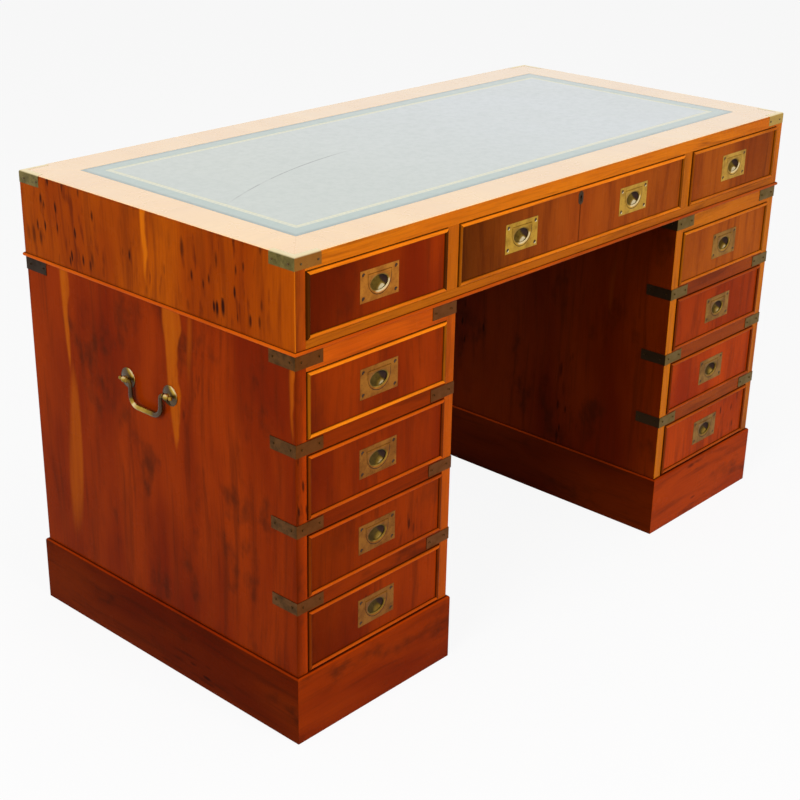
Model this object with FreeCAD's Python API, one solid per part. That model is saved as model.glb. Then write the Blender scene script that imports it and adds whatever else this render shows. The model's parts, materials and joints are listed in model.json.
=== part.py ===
import FreeCAD, Part
import math
import os
from FreeCAD import Vector

# Campaign desk: a frieze section with three drawers on two pedestals of four drawers each.
# Frame: +X to the right, +Y to the back, +Z up, origin on the floor under the middle of the desk.
# All sizes are millimetres.

# Overall sizes
desk_height = 762.0
case_width = 1264.0
case_depth = 618.0
frieze_height = 140.0
pedestal_width = 331.0
pedestal_inset = 1.3
plinth_height = 114.0
overrun = 2.0

# Top and its leather
top_thickness = 23.0
top_edge_ease = 1.2
leather_border = 67.0
leather_thickness = 1.8
leather_sink = 0.2

# Frieze case
frieze_end_thickness = 20.0
frieze_back_thickness = 12.0
frieze_rail_height = 18.5
frieze_rail_depth = 60.0
frieze_floor_thickness = 6.0
frieze_divider_thickness = 25.0
frieze_centre_bay = 599.0
frieze_bead_height = 6.5

# Pedestal cases
pedestal_side_thickness = 20.0
pedestal_back_thickness = 10.0
pedestal_top_thickness = 12.0
pedestal_floor_thickness = 10.0
pedestal_floor_rise = 2.0
pedestal_top_rail_height = 28.0
pedestal_rail_height = 24.0
pedestal_rail_depth = 50.0
pedestal_drawer_count = 4

# Plinths
plinth_thickness = 22.0
plinth_projection = 5.0
plinth_ease = 4.0
plinth_block_side = 36.0

# Runners
runner_width = 18.0

# Drawers
front_thickness = 20.0
front_clearance = 1.0
cock_bead_width = 6.0
cock_bead_proud = 3.5
cock_bead_seat = 8.0
box_clearance = 1.2
box_rise = 0.3
box_top_gap = 6.0
box_side_thickness = 9.0
box_back_thickness = 9.0
box_bottom_thickness = 5.0
box_bottom_lift = 4.0
box_back_gap = 12.0
centre_pull_spread = 300.0

# Flush pulls
plate_width = 79.0
plate_height = 47.5
plate_thickness = 3.0
plate_proud = 0.5
plate_corner_radius = 1.5
plate_fit = 0.2
window_width = 48.0
window_height = 33.5
window_top_margin = 7.3
shelf_thickness = 1.5
shelf_rim = 2.0
bowl_radius = 19.0
bowl_depth = 11.0
bowl_wall = 1.2
cup_fit = 0.3
tongue_gap = 0.4
tongue_thickness = 2.2
tongue_band = 4.2
tongue_hole_height = 22.5
tongue_pin_radius = 0.8
tongue_pin_length = 2.6
tongue_pin_fit = 0.15
screw_head_radius = 2.3
screw_head_depth = 1.0
screw_shank_radius = 1.2
screw_shank_length = 9.0
screw_inset = 6.3
screw_fit = 0.1

# Lock of the centre drawer
lock_width = 50.0
lock_height = 34.0
lock_thickness = 12.0
lock_top_drop = 0.5
bolt_width = 16.0
bolt_thickness = 5.0
bolt_height = 22.0
bolt_fit = 0.3
bolt_travel = 8.0
mortise_clearance = 3.0
escutcheon_width = 13.0
escutcheon_height = 22.0
escutcheon_thickness = 1.2
escutcheon_proud = 0.4
escutcheon_fit = 0.2
escutcheon_drop = 1.0
keyhole_radius = 2.2
keyhole_slot_width = 2.0
keyhole_slot_length = 8.0

# Brass caps on the top corners
cap_leg = 50.0
cap_foot_gap = 3.5
cap_thickness = 2.0
cap_flange_width = 10.0
cap_round = 3.5

# Brass straps on the pedestal corners
strap_leg = 52.0
strap_height = 20.0
strap_thickness = 1.0
strap_drop = 1.0
strap_round = 0.6

# Pins of the caps and straps
pin_radius = 1.7
pin_proud = 0.4
pin_fit = 0.1
pin_depth = 6.0
pin_near_inset = 12.0
pin_end_inset = 6.0

# Carrying handles on the outer pedestal sides
handle_drop = 137.5
handle_setback = 11.0
post_spacing = 99.0
post_rosette_radius = 16.5
post_rosette_edge = 1.2
post_rosette_rise = 2.2
post_stem_radius = 5.0
post_standoff = 8.0
post_eye_radius = 5.5
post_spigot_radius = 3.5
post_spigot_length = 12.0
post_spigot_fit = 0.1
bail_radius = 3.8
bail_pin_radius = 2.2
bail_pin_fit = 0.3
bail_drop = 37.5
bail_leg_inset = 14.0
bail_neck_radius = 6.0
bail_bow_radius = 17.0
bail_tip_radius = 3.4
bail_tip_gap = 0.5

# Levels and faces worked out from the sizes above
front_y = -case_depth / 2
back_y = case_depth / 2
left_x = -case_width / 2
right_x = case_width / 2
pedestal_top_z = desk_height - frieze_height
top_under_z = desk_height - top_thickness
cap_height = top_thickness - cap_foot_gap
handle_height = pedestal_top_z - handle_drop
pedestal_front_y = front_y + pedestal_inset
pedestal_back_y = back_y - pedestal_inset
pedestal_floor_z = plinth_height + pedestal_floor_rise
plinth_outer_reach = pedestal_back_y + plinth_projection
plinth_inner_reach = plinth_outer_reach - plinth_thickness
frieze_rail_top_z = pedestal_top_z + frieze_rail_height
frieze_floor_top_z = pedestal_top_z + frieze_floor_thickness
frieze_rail_back_y = front_y + frieze_rail_depth
frieze_back_front_y = back_y - frieze_back_thickness
pedestal_rail_back_y = pedestal_front_y + pedestal_rail_depth
pedestal_back_front_y = pedestal_back_y - pedestal_back_thickness
pedestal_opening_height = (
    pedestal_top_z - pedestal_top_rail_height - pedestal_floor_z
    - (pedestal_drawer_count - 1) * pedestal_rail_height
) / pedestal_drawer_count
pedestal_pitch = pedestal_opening_height + pedestal_rail_height
pedestal_left_x = left_x + pedestal_inset
pedestal_starts = {"left": pedestal_left_x, "right": -pedestal_left_x - pedestal_width}
frieze_bay_starts = {
    "left": left_x + frieze_end_thickness,
    "centre": -frieze_centre_bay / 2,
    "right": frieze_centre_bay / 2 + frieze_divider_thickness,
}
frieze_side_bay = -frieze_centre_bay / 2 - frieze_divider_thickness - frieze_bay_starts["left"]
frieze_bay_widths = {"left": frieze_side_bay, "centre": frieze_centre_bay, "right": frieze_side_bay}

along_x = Vector(1, 0, 0)
along_y = Vector(0, 1, 0)
along_z = Vector(0, 0, 1)


# Small building helpers

def block(x_from, x_to, y_from, y_to, z_from, z_to):
    """A box between two values on each axis."""
    return Part.makeBox(x_to - x_from, y_to - y_from, z_to - z_from, Vector(x_from, y_from, z_from))


def plan_prism(points, z_from, z_to):
    """A prism standing on an outline given as x, y pairs."""
    corners = [Vector(x, y, z_from) for x, y in points]
    face = Part.Face(Part.makePolygon(corners + corners[:1]))
    return face.extrude(along_z * (z_to - z_from))


def front_prism(points, y_from, y_to):
    """A prism running back from an outline given as x, z pairs."""
    corners = [Vector(x, y_from, z) for x, z in points]
    face = Part.Face(Part.makePolygon(corners + corners[:1]))
    return face.extrude(along_y * (y_to - y_from))


def line(start, end):
    return Part.LineSegment(start, end).toShape()


def arc(start, middle, end):
    return Part.Arc(start, middle, end).toShape()


def d_prism(centre_x, top_z, width, height, y_from, y_to):
    """A D with a flat top edge and a half-round lower edge, running along Y."""
    radius = width / 2
    spring_z = top_z - height + radius
    top_left = Vector(centre_x - radius, y_from, top_z)
    top_right = Vector(centre_x + radius, y_from, top_z)
    low_right = Vector(centre_x + radius, y_from, spring_z)
    low_left = Vector(centre_x - radius, y_from, spring_z)
    foot = Vector(centre_x, y_from, spring_z - radius)
    outline = Part.Wire([
        line(top_left, top_right),
        line(top_right, low_right),
        arc(low_right, foot, low_left),
        line(low_left, top_left),
    ])
    return Part.Face(outline).extrude(along_y * (y_to - y_from))


def stadium_prism(centre_x, centre_z, width, height, y_from, y_to):
    """An upright slot shape with round ends, running along Y."""
    radius = width / 2
    reach = height / 2 - radius
    length = y_to - y_from
    middle = block(centre_x - radius, centre_x + radius, y_from, y_to, centre_z - reach, centre_z + reach)
    upper = Part.makeCylinder(radius, length, Vector(centre_x, y_from, centre_z + reach), along_y)
    lower = Part.makeCylinder(radius, length, Vector(centre_x, y_from, centre_z - reach), along_y)
    return middle.fuse([upper, lower]).removeSplitter()


def mirrored(shape):
    """The same shape on the other side of the desk's middle plane."""
    return shape.mirror(Vector(0, 0, 0), along_x)


def half_turned(shape):
    """The same shape turned half round the desk's upright axis."""
    return shape.rotated(Vector(0, 0, 0), along_z, 180)


def export(node, solids):
    """Write the solids of one node to its file."""
    Part.makeCompound(solids).exportStep("parts/" + node + ".step")


# Brass caps on the top corners

def cap_pin_places():
    """Distances of a cap's pins from its corner."""
    return [pin_near_inset, cap_leg - pin_end_inset]


def cap_at_origin():
    """A cap for a corner at the origin: legs run to +X and +Y, the top flange lies at z = 0."""
    front_leg = block(0, cap_leg, 0, cap_thickness, -cap_height, 0)
    side_leg = block(0, cap_thickness, 0, cap_leg, -cap_height, 0)
    front_flange = block(0, cap_leg, 0, cap_flange_width, -cap_thickness, 0)
    side_flange = block(0, cap_flange_width, 0, cap_leg, -cap_thickness, 0)
    return front_leg.fuse([side_leg, front_flange, side_flange]).removeSplitter()


def cap_round_cut():
    """What the rounding takes off the two top outer edges of a cap at the origin."""
    reach = cap_leg + overrun
    front_bar = block(-overrun, reach, -overrun, cap_round, -cap_round, overrun)
    front_bar = front_bar.cut(
        Part.makeCylinder(cap_round, reach + overrun, Vector(-overrun, cap_round, -cap_round), along_x)
    )
    side_bar = block(-overrun, cap_round, -overrun, reach, -cap_round, overrun)
    side_bar = side_bar.cut(
        Part.makeCylinder(cap_round, reach + overrun, Vector(cap_round, -overrun, -cap_round), along_y)
    )
    return front_bar.fuse(side_bar)


def leg_pins(places, level, radius, length, sink):
    """Pins through both legs of an angle at the origin, starting sink outside the faces."""
    pins = []
    for place in places:
        pins.append(Part.makeCylinder(radius, length, Vector(place, -sink, level), along_y))
        pins.append(Part.makeCylinder(radius, length, Vector(-sink, place, level), along_x))
    return pins


def corner_set(shape, x_reach, y_reach):
    """Copies of a corner piece made at the origin, on the four corners of a rectangle."""
    near_left = shape.translated(Vector(-x_reach, -y_reach, 0))
    far_left = near_left.mirror(Vector(0, 0, 0), along_y)
    return [near_left, far_left, mirrored(near_left), mirrored(far_left)]


def make_caps():
    """The four caps with their pins, and the shapes that the top is cut with."""
    level = -(cap_height + cap_round) / 2
    places = cap_pin_places()
    blank = cap_at_origin()
    holes = leg_pins(places, level, pin_radius + pin_fit, cap_thickness + pin_depth + overrun, overrun)
    pins = leg_pins(places, level, pin_radius, cap_thickness + pin_depth + pin_proud, pin_proud)
    cap = blank.cut(holes).cut(cap_round_cut())
    solids = []
    cuts = []
    for piece in [cap] + pins:
        solids += corner_set(piece.translated(along_z * desk_height), right_x, back_y)
    for piece in [blank] + holes:
        cuts += corner_set(piece.translated(along_z * desk_height), right_x, back_y)
    return solids, cuts


# Top board and leather

def make_top(cap_cuts):
    board = block(left_x, right_x, front_y, back_y, top_under_z, desk_height)
    upper_edges = [
        edge for edge in board.Edges
        if edge.BoundBox.ZMin > desk_height - top_edge_ease
    ]
    board = board.makeFillet(top_edge_ease, upper_edges)
    recess = block(
        left_x + leather_border, right_x - leather_border,
        front_y + leather_border, back_y - leather_border,
        desk_height - leather_thickness - leather_sink, desk_height + overrun,
    )
    return board.cut([recess] + cap_cuts).cut(bolt_mortise())


def make_leather():
    return block(
        left_x + leather_border, right_x - leather_border,
        front_y + leather_border, back_y - leather_border,
        desk_height - leather_thickness - leather_sink, desk_height - leather_sink,
    )


# Frieze case

def frieze_bead(length, reach):
    """A mitred half-round length along X, standing out from a face that lies reach in front of the middle."""
    radius = frieze_bead_height / 2
    half = length / 2
    round_bar = Part.makeCylinder(
        radius, length + 2 * radius, Vector(-half - radius, -reach, pedestal_top_z + radius), along_x
    )
    mitre = plan_prism(
        [
            (-half, -reach),
            (half, -reach),
            (half + radius, -reach - radius),
            (-half - radius, -reach - radius),
        ],
        pedestal_top_z, pedestal_top_z + frieze_bead_height,
    )
    return round_bar.common(mitre)


def make_frieze_case():
    inner_left = left_x + frieze_end_thickness
    inner_right = right_x - frieze_end_thickness
    solids = []
    for x_from in (left_x, inner_right):
        solids.append(
            block(x_from, x_from + frieze_end_thickness, front_y, back_y, pedestal_top_z, top_under_z)
        )
    solids.append(block(inner_left, inner_right, frieze_back_front_y, back_y, pedestal_top_z, top_under_z))
    solids.append(
        block(inner_left, inner_right, front_y, frieze_rail_back_y, pedestal_top_z, frieze_rail_top_z)
    )
    solids.append(
        block(
            inner_left, inner_right, frieze_rail_back_y, frieze_back_front_y,
            pedestal_top_z, frieze_floor_top_z,
        )
    )
    for x_from in (-frieze_centre_bay / 2 - frieze_divider_thickness, frieze_centre_bay / 2):
        x_to = x_from + frieze_divider_thickness
        solids.append(block(x_from, x_to, front_y, frieze_rail_back_y, frieze_rail_top_z, top_under_z))
        solids.append(
            block(x_from, x_to, frieze_rail_back_y, frieze_back_front_y, frieze_floor_top_z, top_under_z)
        )
    front_bead = frieze_bead(case_width, back_y)
    side_bead = frieze_bead(case_depth, right_x)
    for turn in (0, 180):
        solids.append(front_bead.rotated(Vector(0, 0, 0), along_z, turn))
        solids.append(side_bead.rotated(Vector(0, 0, 0), along_z, turn + 90))
    return solids


# Pedestal cases and plinths

def opening_bottom(level):
    """Height of a pedestal opening's floor, counted from the top drawer down."""
    return pedestal_floor_z + (pedestal_drawer_count - 1 - level) * pedestal_pitch


def post_places():
    """Where a handle's posts stand along the desk's depth."""
    return [handle_setback - post_spacing / 2, handle_setback + post_spacing / 2]


def handle_holes():
    """Holes for the spigots of the left handle's posts."""
    holes = []
    for y in post_places():
        start = Vector(pedestal_left_x - overrun, y, handle_height)
        holes.append(
            Part.makeCylinder(
                post_spigot_radius + post_spigot_fit, overrun + post_spigot_length + post_spigot_fit,
                start, along_x,
            )
        )
    return holes


def make_left_pedestal():
    outer = pedestal_left_x
    inner = outer + pedestal_width
    bay_from = outer + pedestal_side_thickness
    bay_to = inner - pedestal_side_thickness
    outer_side = block(outer, bay_from, pedestal_front_y, pedestal_back_y, plinth_height, pedestal_top_z)
    solids = [
        outer_side.cut(handle_holes()),
        block(bay_to, inner, pedestal_front_y, pedestal_back_y, plinth_height, pedestal_top_z),
        block(bay_from, bay_to, pedestal_back_front_y, pedestal_back_y, plinth_height, pedestal_top_z),
        block(
            bay_from, bay_to, -plinth_inner_reach, plinth_inner_reach,
            pedestal_floor_z - pedestal_floor_thickness, pedestal_floor_z,
        ),
        block(
            bay_from, bay_to, pedestal_rail_back_y, pedestal_back_front_y,
            pedestal_top_z - pedestal_top_thickness, pedestal_top_z,
        ),
        block(
            bay_from, bay_to, pedestal_front_y, pedestal_rail_back_y,
            pedestal_top_z - pedestal_top_rail_height, pedestal_top_z,
        ),
    ]
    for level in range(pedestal_drawer_count - 1):
        rail_top = opening_bottom(level)
        solids.append(
            block(
                bay_from, bay_to, pedestal_front_y, pedestal_rail_back_y,
                rail_top - pedestal_rail_height, rail_top,
            )
        )
    return solids


def plinth_board(half_length, reach):
    """One mitred plinth board along X, with its outer face lying reach in front of the plinth's middle."""
    inner_reach = reach - plinth_thickness
    inner_half = half_length - plinth_thickness
    board = plan_prism(
        [(-half_length, -reach), (half_length, -reach), (inner_half, -inner_reach), (-inner_half, -inner_reach)],
        0, plinth_height,
    )
    bar = block(
        -half_length - overrun, half_length + overrun, -reach - overrun, -reach + plinth_ease,
        plinth_height - plinth_ease, plinth_height + overrun,
    )
    bar = bar.cut(
        Part.makeCylinder(
            plinth_ease, 2 * (half_length + overrun),
            Vector(-half_length - overrun, -reach + plinth_ease, plinth_height - plinth_ease), along_x,
        )
    )
    return board.cut(bar)


def make_left_plinth():
    half_width = pedestal_width / 2 + plinth_projection
    half_depth = plinth_outer_reach
    centre = Vector(pedestal_left_x + pedestal_width / 2, 0, 0)
    long_board = plinth_board(half_width, half_depth)
    side_board = plinth_board(half_depth, half_width)
    solids = []
    for turn in (0, 180):
        solids.append(long_board.rotated(Vector(0, 0, 0), along_z, turn))
        solids.append(side_board.rotated(Vector(0, 0, 0), along_z, turn + 90))
    inner_width = half_width - plinth_thickness
    corner_block = block(
        0, plinth_block_side, 0, plinth_block_side, 0, pedestal_floor_z - pedestal_floor_thickness
    )
    solids += corner_set(corner_block, inner_width, plinth_inner_reach)
    return [solid.translated(centre) for solid in solids]


# Runners that carry the drawers, and kickers over the top pedestal drawers

def make_runners():
    solids = []
    for start in pedestal_starts.values():
        bay_from = start + pedestal_side_thickness
        bay_to = start + pedestal_width - pedestal_side_thickness
        spans = [
            (pedestal_top_z - pedestal_top_rail_height, pedestal_top_z - pedestal_top_thickness)
        ]
        for level in range(pedestal_drawer_count - 1):
            rail_top = opening_bottom(level)
            spans.append((rail_top - pedestal_rail_height, rail_top))
        for z_from, z_to in spans:
            for x_from in (bay_from, bay_to - runner_width):
                solids.append(
                    block(
                        x_from, x_from + runner_width, pedestal_rail_back_y, pedestal_back_front_y,
                        z_from, z_to,
                    )
                )
    for name, bay_from in frieze_bay_starts.items():
        bay_to = bay_from + frieze_bay_widths[name]
        for x_from in (bay_from, bay_to - runner_width):
            solids.append(
                block(
                    x_from, x_from + runner_width, frieze_rail_back_y, frieze_back_front_y,
                    frieze_floor_top_z, frieze_rail_top_z,
                )
            )
    return solids


# Flush pulls, made for a plate centred on the given place with its face in the given plane

def pull_window_top(centre_z):
    return centre_z + plate_height / 2 - window_top_margin


def screw_places(centre_x, centre_z):
    """The four screw centres of a pull plate, as x, z pairs."""
    reach_x = plate_width / 2 - screw_inset
    reach_z = plate_height / 2 - screw_inset
    places = []
    for side in (-1, 1):
        for end in (-1, 1):
            places.append((centre_x + side * reach_x, centre_z + end * reach_z))
    return places


def pull_pin_place(plate_y, centre_z):
    """Height and depth of the tongue's hinge axis."""
    axis_y = plate_y + plate_thickness / 2
    axis_z = pull_window_top(centre_z) - tongue_gap - plate_thickness / 2
    return axis_y, axis_z


def pull_screw(x, plate_y, z):
    head = Part.makeCylinder(screw_head_radius, screw_head_depth, Vector(x, plate_y, z), along_y)
    shank = Part.makeCylinder(
        screw_shank_radius, screw_shank_length, Vector(x, plate_y + screw_head_depth, z), along_y
    )
    return head.fuse(shank)


def shelf_prism(centre_x, centre_z, grow, y_from, y_to):
    """The D-shaped shelf behind the window, which the tongue lies on, grown all round."""
    rim = shelf_rim + grow
    return d_prism(
        centre_x, pull_window_top(centre_z) + rim, window_width + 2 * rim, window_height + 2 * rim, y_from, y_to
    )


def bowl_cap(centre_x, mouth_y, centre_z, grow):
    """The ball cap behind the finger hole, grown outwards, from its mouth to its deepest point."""
    ball_radius = (bowl_radius ** 2 + bowl_depth ** 2) / (2 * bowl_depth)
    middle_z = pull_window_top(centre_z) - window_height + window_width / 2
    reach = ball_radius + grow
    mouth_angle = math.degrees(math.asin((ball_radius - bowl_depth) / reach))
    centre = Vector(centre_x, mouth_y + bowl_depth - ball_radius, middle_z)
    return Part.makeSphere(reach, centre, along_y, mouth_angle, 90, 360)


def pull_plate(centre_x, plate_y, centre_z):
    """The plate with its shelf and bowl, bored for the hinge pins and the screws."""
    back = plate_y + plate_thickness
    plate = block(
        centre_x - plate_width / 2, centre_x + plate_width / 2, plate_y, back,
        centre_z - plate_height / 2, centre_z + plate_height / 2,
    )
    corners = [edge for edge in plate.Edges if edge.BoundBox.YLength > plate_thickness / 2]
    plate = plate.makeFillet(plate_corner_radius, corners)
    shelf = shelf_prism(centre_x, centre_z, 0, back, back + shelf_thickness)
    bowl = bowl_cap(centre_x, back, centre_z, bowl_wall)
    hollow = d_prism(centre_x, pull_window_top(centre_z), window_width, window_height, plate_y - overrun, back)
    bowl_hollow = bowl_cap(centre_x, back, centre_z, 0)
    axis_y, axis_z = pull_pin_place(plate_y, centre_z)
    reach = window_width / 2 + tongue_pin_length
    pin_hole = Part.makeCylinder(
        tongue_pin_radius + tongue_pin_fit, 2 * reach, Vector(centre_x - reach, axis_y, axis_z), along_x
    )
    cuts = [hollow, bowl_hollow, pin_hole]
    for x, z in screw_places(centre_x, centre_z):
        cuts.append(
            Part.makeCylinder(
                screw_head_radius + screw_fit, screw_head_depth + overrun, Vector(x, plate_y - overrun, z), along_y
            )
        )
        cuts.append(
            Part.makeCylinder(
                screw_shank_radius + screw_fit, plate_thickness + overrun, Vector(x, plate_y, z), along_y
            )
        )
    return plate.fuse([shelf, bowl]).removeSplitter().cut(cuts)


def pull_front_cuts(centre_x, plate_y, centre_z):
    """What a pull takes out of its drawer front."""
    back = plate_y + plate_thickness
    cuts = [
        block(
            centre_x - plate_width / 2 - plate_fit, centre_x + plate_width / 2 + plate_fit,
            plate_y - overrun, back,
            centre_z - plate_height / 2 - plate_fit, centre_z + plate_height / 2 + plate_fit,
        ),
        shelf_prism(centre_x, centre_z, cup_fit, plate_y, back + shelf_thickness + cup_fit),
        bowl_cap(centre_x, back, centre_z, bowl_wall + cup_fit),
    ]
    for x, z in screw_places(centre_x, centre_z):
        cuts.append(
            Part.makeCylinder(
                screw_shank_radius + screw_fit, screw_head_depth + screw_shank_length + screw_fit,
                Vector(x, plate_y, z), along_y,
            )
        )
    return cuts


def pull_tongue(centre_x, plate_y, centre_z):
    """The half-moon tongue with its finger hole, barrel and hinge pins."""
    axis_y, axis_z = pull_pin_place(plate_y, centre_z)
    half = window_width / 2 - tongue_gap
    foot_z = pull_window_top(centre_z) - window_height + tongue_gap
    flap = d_prism(centre_x, axis_z, 2 * half, axis_z - foot_z, plate_y, plate_y + tongue_thickness)
    hole_width = 2 * (half - tongue_band)
    hole = d_prism(
        centre_x, foot_z + tongue_band + tongue_hole_height, hole_width, tongue_hole_height,
        plate_y - overrun, plate_y + tongue_thickness + overrun,
    )
    barrel = Part.makeCylinder(plate_thickness / 2, 2 * half, Vector(centre_x - half, axis_y, axis_z), along_x)
    pin_reach = half + tongue_pin_length
    pin = Part.makeCylinder(
        tongue_pin_radius, 2 * pin_reach, Vector(centre_x - pin_reach, axis_y, axis_z), along_x
    )
    return flap.cut(hole).fuse([barrel, pin]).removeSplitter()


# Drawers

def cock_bead(length, face_y):
    """A mitred bead strip along X, centred, with its outer edge on z = 0 and its body below."""
    half = length / 2
    nose = cock_bead_width / 2
    tip_y = face_y - cock_bead_proud
    seat_y = face_y + cock_bead_seat
    upper_back = Vector(-half, seat_y, 0)
    upper_nose = Vector(-half, tip_y + nose, 0)
    tip = Vector(-half, tip_y, -nose)
    lower_nose = Vector(-half, tip_y + nose, -cock_bead_width)
    lower_back = Vector(-half, seat_y, -cock_bead_width)
    outline = Part.Wire([
        line(upper_back, upper_nose),
        arc(upper_nose, tip, lower_nose),
        line(lower_nose, lower_back),
        line(lower_back, upper_back),
    ])
    strip = Part.Face(outline).extrude(along_x * length)
    mitre = front_prism(
        [
            (-half, 0),
            (half, 0),
            (half - cock_bead_width, -cock_bead_width),
            (-half + cock_bead_width, -cock_bead_width),
        ],
        tip_y - overrun, seat_y + overrun,
    )
    return strip.common(mitre)


def drawer_beads(x_from, x_to, z_from, z_to, face_y):
    """Four mitred strips round the edge of a drawer front."""
    middle_x = (x_from + x_to) / 2
    middle_z = (z_from + z_to) / 2
    level = cock_bead(x_to - x_from, face_y)
    upright = cock_bead(z_to - z_from, face_y)
    origin = Vector(0, 0, 0)
    return [
        level.translated(Vector(middle_x, 0, z_to)),
        level.rotated(origin, along_y, 180).translated(Vector(middle_x, 0, z_from)),
        upright.rotated(origin, along_y, -90).translated(Vector(x_from, 0, middle_z)),
        upright.rotated(origin, along_y, 90).translated(Vector(x_to, 0, middle_z)),
    ]


class Drawer:
    """The places of one drawer, worked out from the opening that it fills."""

    def __init__(self, name, bay_from, bay_width, bay_bottom, bay_top, face_y, case_back_y, pull_spread):
        self.name = name
        self.bay_from = bay_from
        self.bay_to = bay_from + bay_width
        self.face_y = face_y
        self.x_from = bay_from + front_clearance
        self.x_to = self.bay_to - front_clearance
        self.z_from = bay_bottom + front_clearance
        self.z_to = bay_top - front_clearance
        self.centre_x = bay_from + bay_width / 2
        self.centre_z = (bay_bottom + bay_top) / 2
        self.front_back_y = face_y + front_thickness
        self.box_back_y = case_back_y - box_back_gap
        self.box_from = bay_from + box_clearance
        self.box_to = self.bay_to - box_clearance
        self.box_bottom_z = bay_bottom + box_rise
        self.box_top_z = bay_top - box_top_gap
        self.plate_y = face_y - plate_proud
        if pull_spread:
            self.pulls = {
                "_left": self.centre_x - pull_spread / 2,
                "_right": self.centre_x + pull_spread / 2,
            }
        else:
            self.pulls = {"": self.centre_x}

    def front(self):
        """The board, rebated for the beads and cut for its pulls, and the beads."""
        seat_y = self.face_y + cock_bead_seat
        field = block(
            self.x_from + cock_bead_width, self.x_to - cock_bead_width, self.face_y, seat_y,
            self.z_from + cock_bead_width, self.z_to - cock_bead_width,
        )
        board = block(self.x_from, self.x_to, seat_y, self.front_back_y, self.z_from, self.z_to)
        board = board.fuse(field).removeSplitter()
        cuts = []
        for centre_x in self.pulls.values():
            cuts += pull_front_cuts(centre_x, self.plate_y, self.centre_z)
        beads = drawer_beads(self.x_from, self.x_to, self.z_from, self.z_to, self.face_y)
        return board.cut(cuts), beads

    def box(self):
        """Two sides, the back and the bottom."""
        inner_from = self.box_from + box_side_thickness
        inner_to = self.box_to - box_side_thickness
        inner_back_y = self.box_back_y - box_back_thickness
        bottom_z = self.box_bottom_z + box_bottom_lift
        return [
            block(
                self.box_from, inner_from, self.front_back_y, self.box_back_y, self.box_bottom_z, self.box_top_z
            ),
            block(inner_to, self.box_to, self.front_back_y, self.box_back_y, self.box_bottom_z, self.box_top_z),
            block(inner_from, inner_to, inner_back_y, self.box_back_y, self.box_bottom_z, self.box_top_z),
            block(
                inner_from, inner_to, self.front_back_y, inner_back_y,
                bottom_z, bottom_z + box_bottom_thickness,
            ),
        ]

    def plates(self):
        """Each pull's plate and its screws."""
        solids = []
        for centre_x in self.pulls.values():
            solids.append(pull_plate(centre_x, self.plate_y, self.centre_z))
            for x, z in screw_places(centre_x, self.centre_z):
                solids.append(pull_screw(x, self.plate_y, z))
        return solids

    def tongues(self):
        """Each pull's tongue, by node name."""
        made = {}
        for suffix, centre_x in self.pulls.items():
            made[self.name + "_pull_tongue" + suffix] = pull_tongue(centre_x, self.plate_y, self.centre_z)
        return made


def list_drawers():
    drawers = []
    for side, start in pedestal_starts.items():
        for level in range(pedestal_drawer_count):
            bottom = opening_bottom(level)
            drawers.append(
                Drawer(
                    "%s_drawer_%d" % (side, level + 1),
                    start + pedestal_side_thickness,
                    pedestal_width - 2 * pedestal_side_thickness,
                    bottom, bottom + pedestal_opening_height,
                    pedestal_front_y, pedestal_back_front_y, 0,
                )
            )
    for name, bay_from in frieze_bay_starts.items():
        drawers.append(
            Drawer(
                name + "_frieze_drawer", bay_from, frieze_bay_widths[name], frieze_rail_top_z, top_under_z,
                front_y, frieze_back_front_y, centre_pull_spread if name == "centre" else 0,
            )
        )
    return drawers


# Lock of the centre frieze drawer

def lock_places():
    """Top of the lock case, and the bolt's front face and middle."""
    top_z = top_under_z - front_clearance - lock_top_drop
    case_front_y = front_y + front_thickness
    bolt_front_y = case_front_y + (lock_thickness - bolt_thickness) / 2
    return top_z, case_front_y, bolt_front_y


def bolt_block(grow, z_from, z_to):
    """The bolt's section, grown on all four sides, between two heights."""
    bolt_front_y = lock_places()[2]
    return block(
        -bolt_width / 2 - grow, bolt_width / 2 + grow,
        bolt_front_y - grow, bolt_front_y + bolt_thickness + grow, z_from, z_to,
    )


def bolt_mortise():
    """The pocket in the underside of the top that takes the bolt."""
    top_z = lock_places()[0]
    return bolt_block(mortise_clearance, top_under_z - overrun, top_z + bolt_travel + mortise_clearance)


def keyhole_centre_z():
    return top_under_z - front_clearance - cock_bead_width - escutcheon_drop - escutcheon_height / 2


def keyhole_cut(y_from, y_to):
    centre_z = keyhole_centre_z()
    eye_z = centre_z + keyhole_slot_length / 2 - keyhole_radius
    eye = Part.makeCylinder(keyhole_radius, y_to - y_from, Vector(0, y_from, eye_z), along_y)
    slot = block(
        -keyhole_slot_width / 2, keyhole_slot_width / 2, y_from, y_to,
        eye_z - keyhole_slot_length, eye_z,
    )
    return eye.fuse(slot).removeSplitter()


def make_lock_case():
    top_z, case_front_y = lock_places()[:2]
    case = block(
        -lock_width / 2, lock_width / 2, case_front_y, case_front_y + lock_thickness,
        top_z - lock_height, top_z,
    )
    case = case.cut(bolt_block(bolt_fit, top_z - bolt_height - bolt_fit, top_z + overrun))
    escutcheon = stadium_prism(
        0, keyhole_centre_z(), escutcheon_width, escutcheon_height,
        front_y - escutcheon_proud, front_y - escutcheon_proud + escutcheon_thickness,
    )
    escutcheon = escutcheon.cut(keyhole_cut(front_y - overrun, front_y + escutcheon_thickness))
    return [case, escutcheon]


def make_lock_bolt():
    top_z = lock_places()[0]
    return bolt_block(0, top_z - bolt_height, top_z)


def lock_front_cuts():
    """The keyhole through the centre drawer front and the seat of its escutcheon."""
    seat = stadium_prism(
        0, keyhole_centre_z(), escutcheon_width + 2 * escutcheon_fit, escutcheon_height + 2 * escutcheon_fit,
        front_y - overrun, front_y - escutcheon_proud + escutcheon_thickness,
    )
    return [seat, keyhole_cut(front_y, front_y + front_thickness + overrun)]


# Brass straps on the pedestal corners

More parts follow.
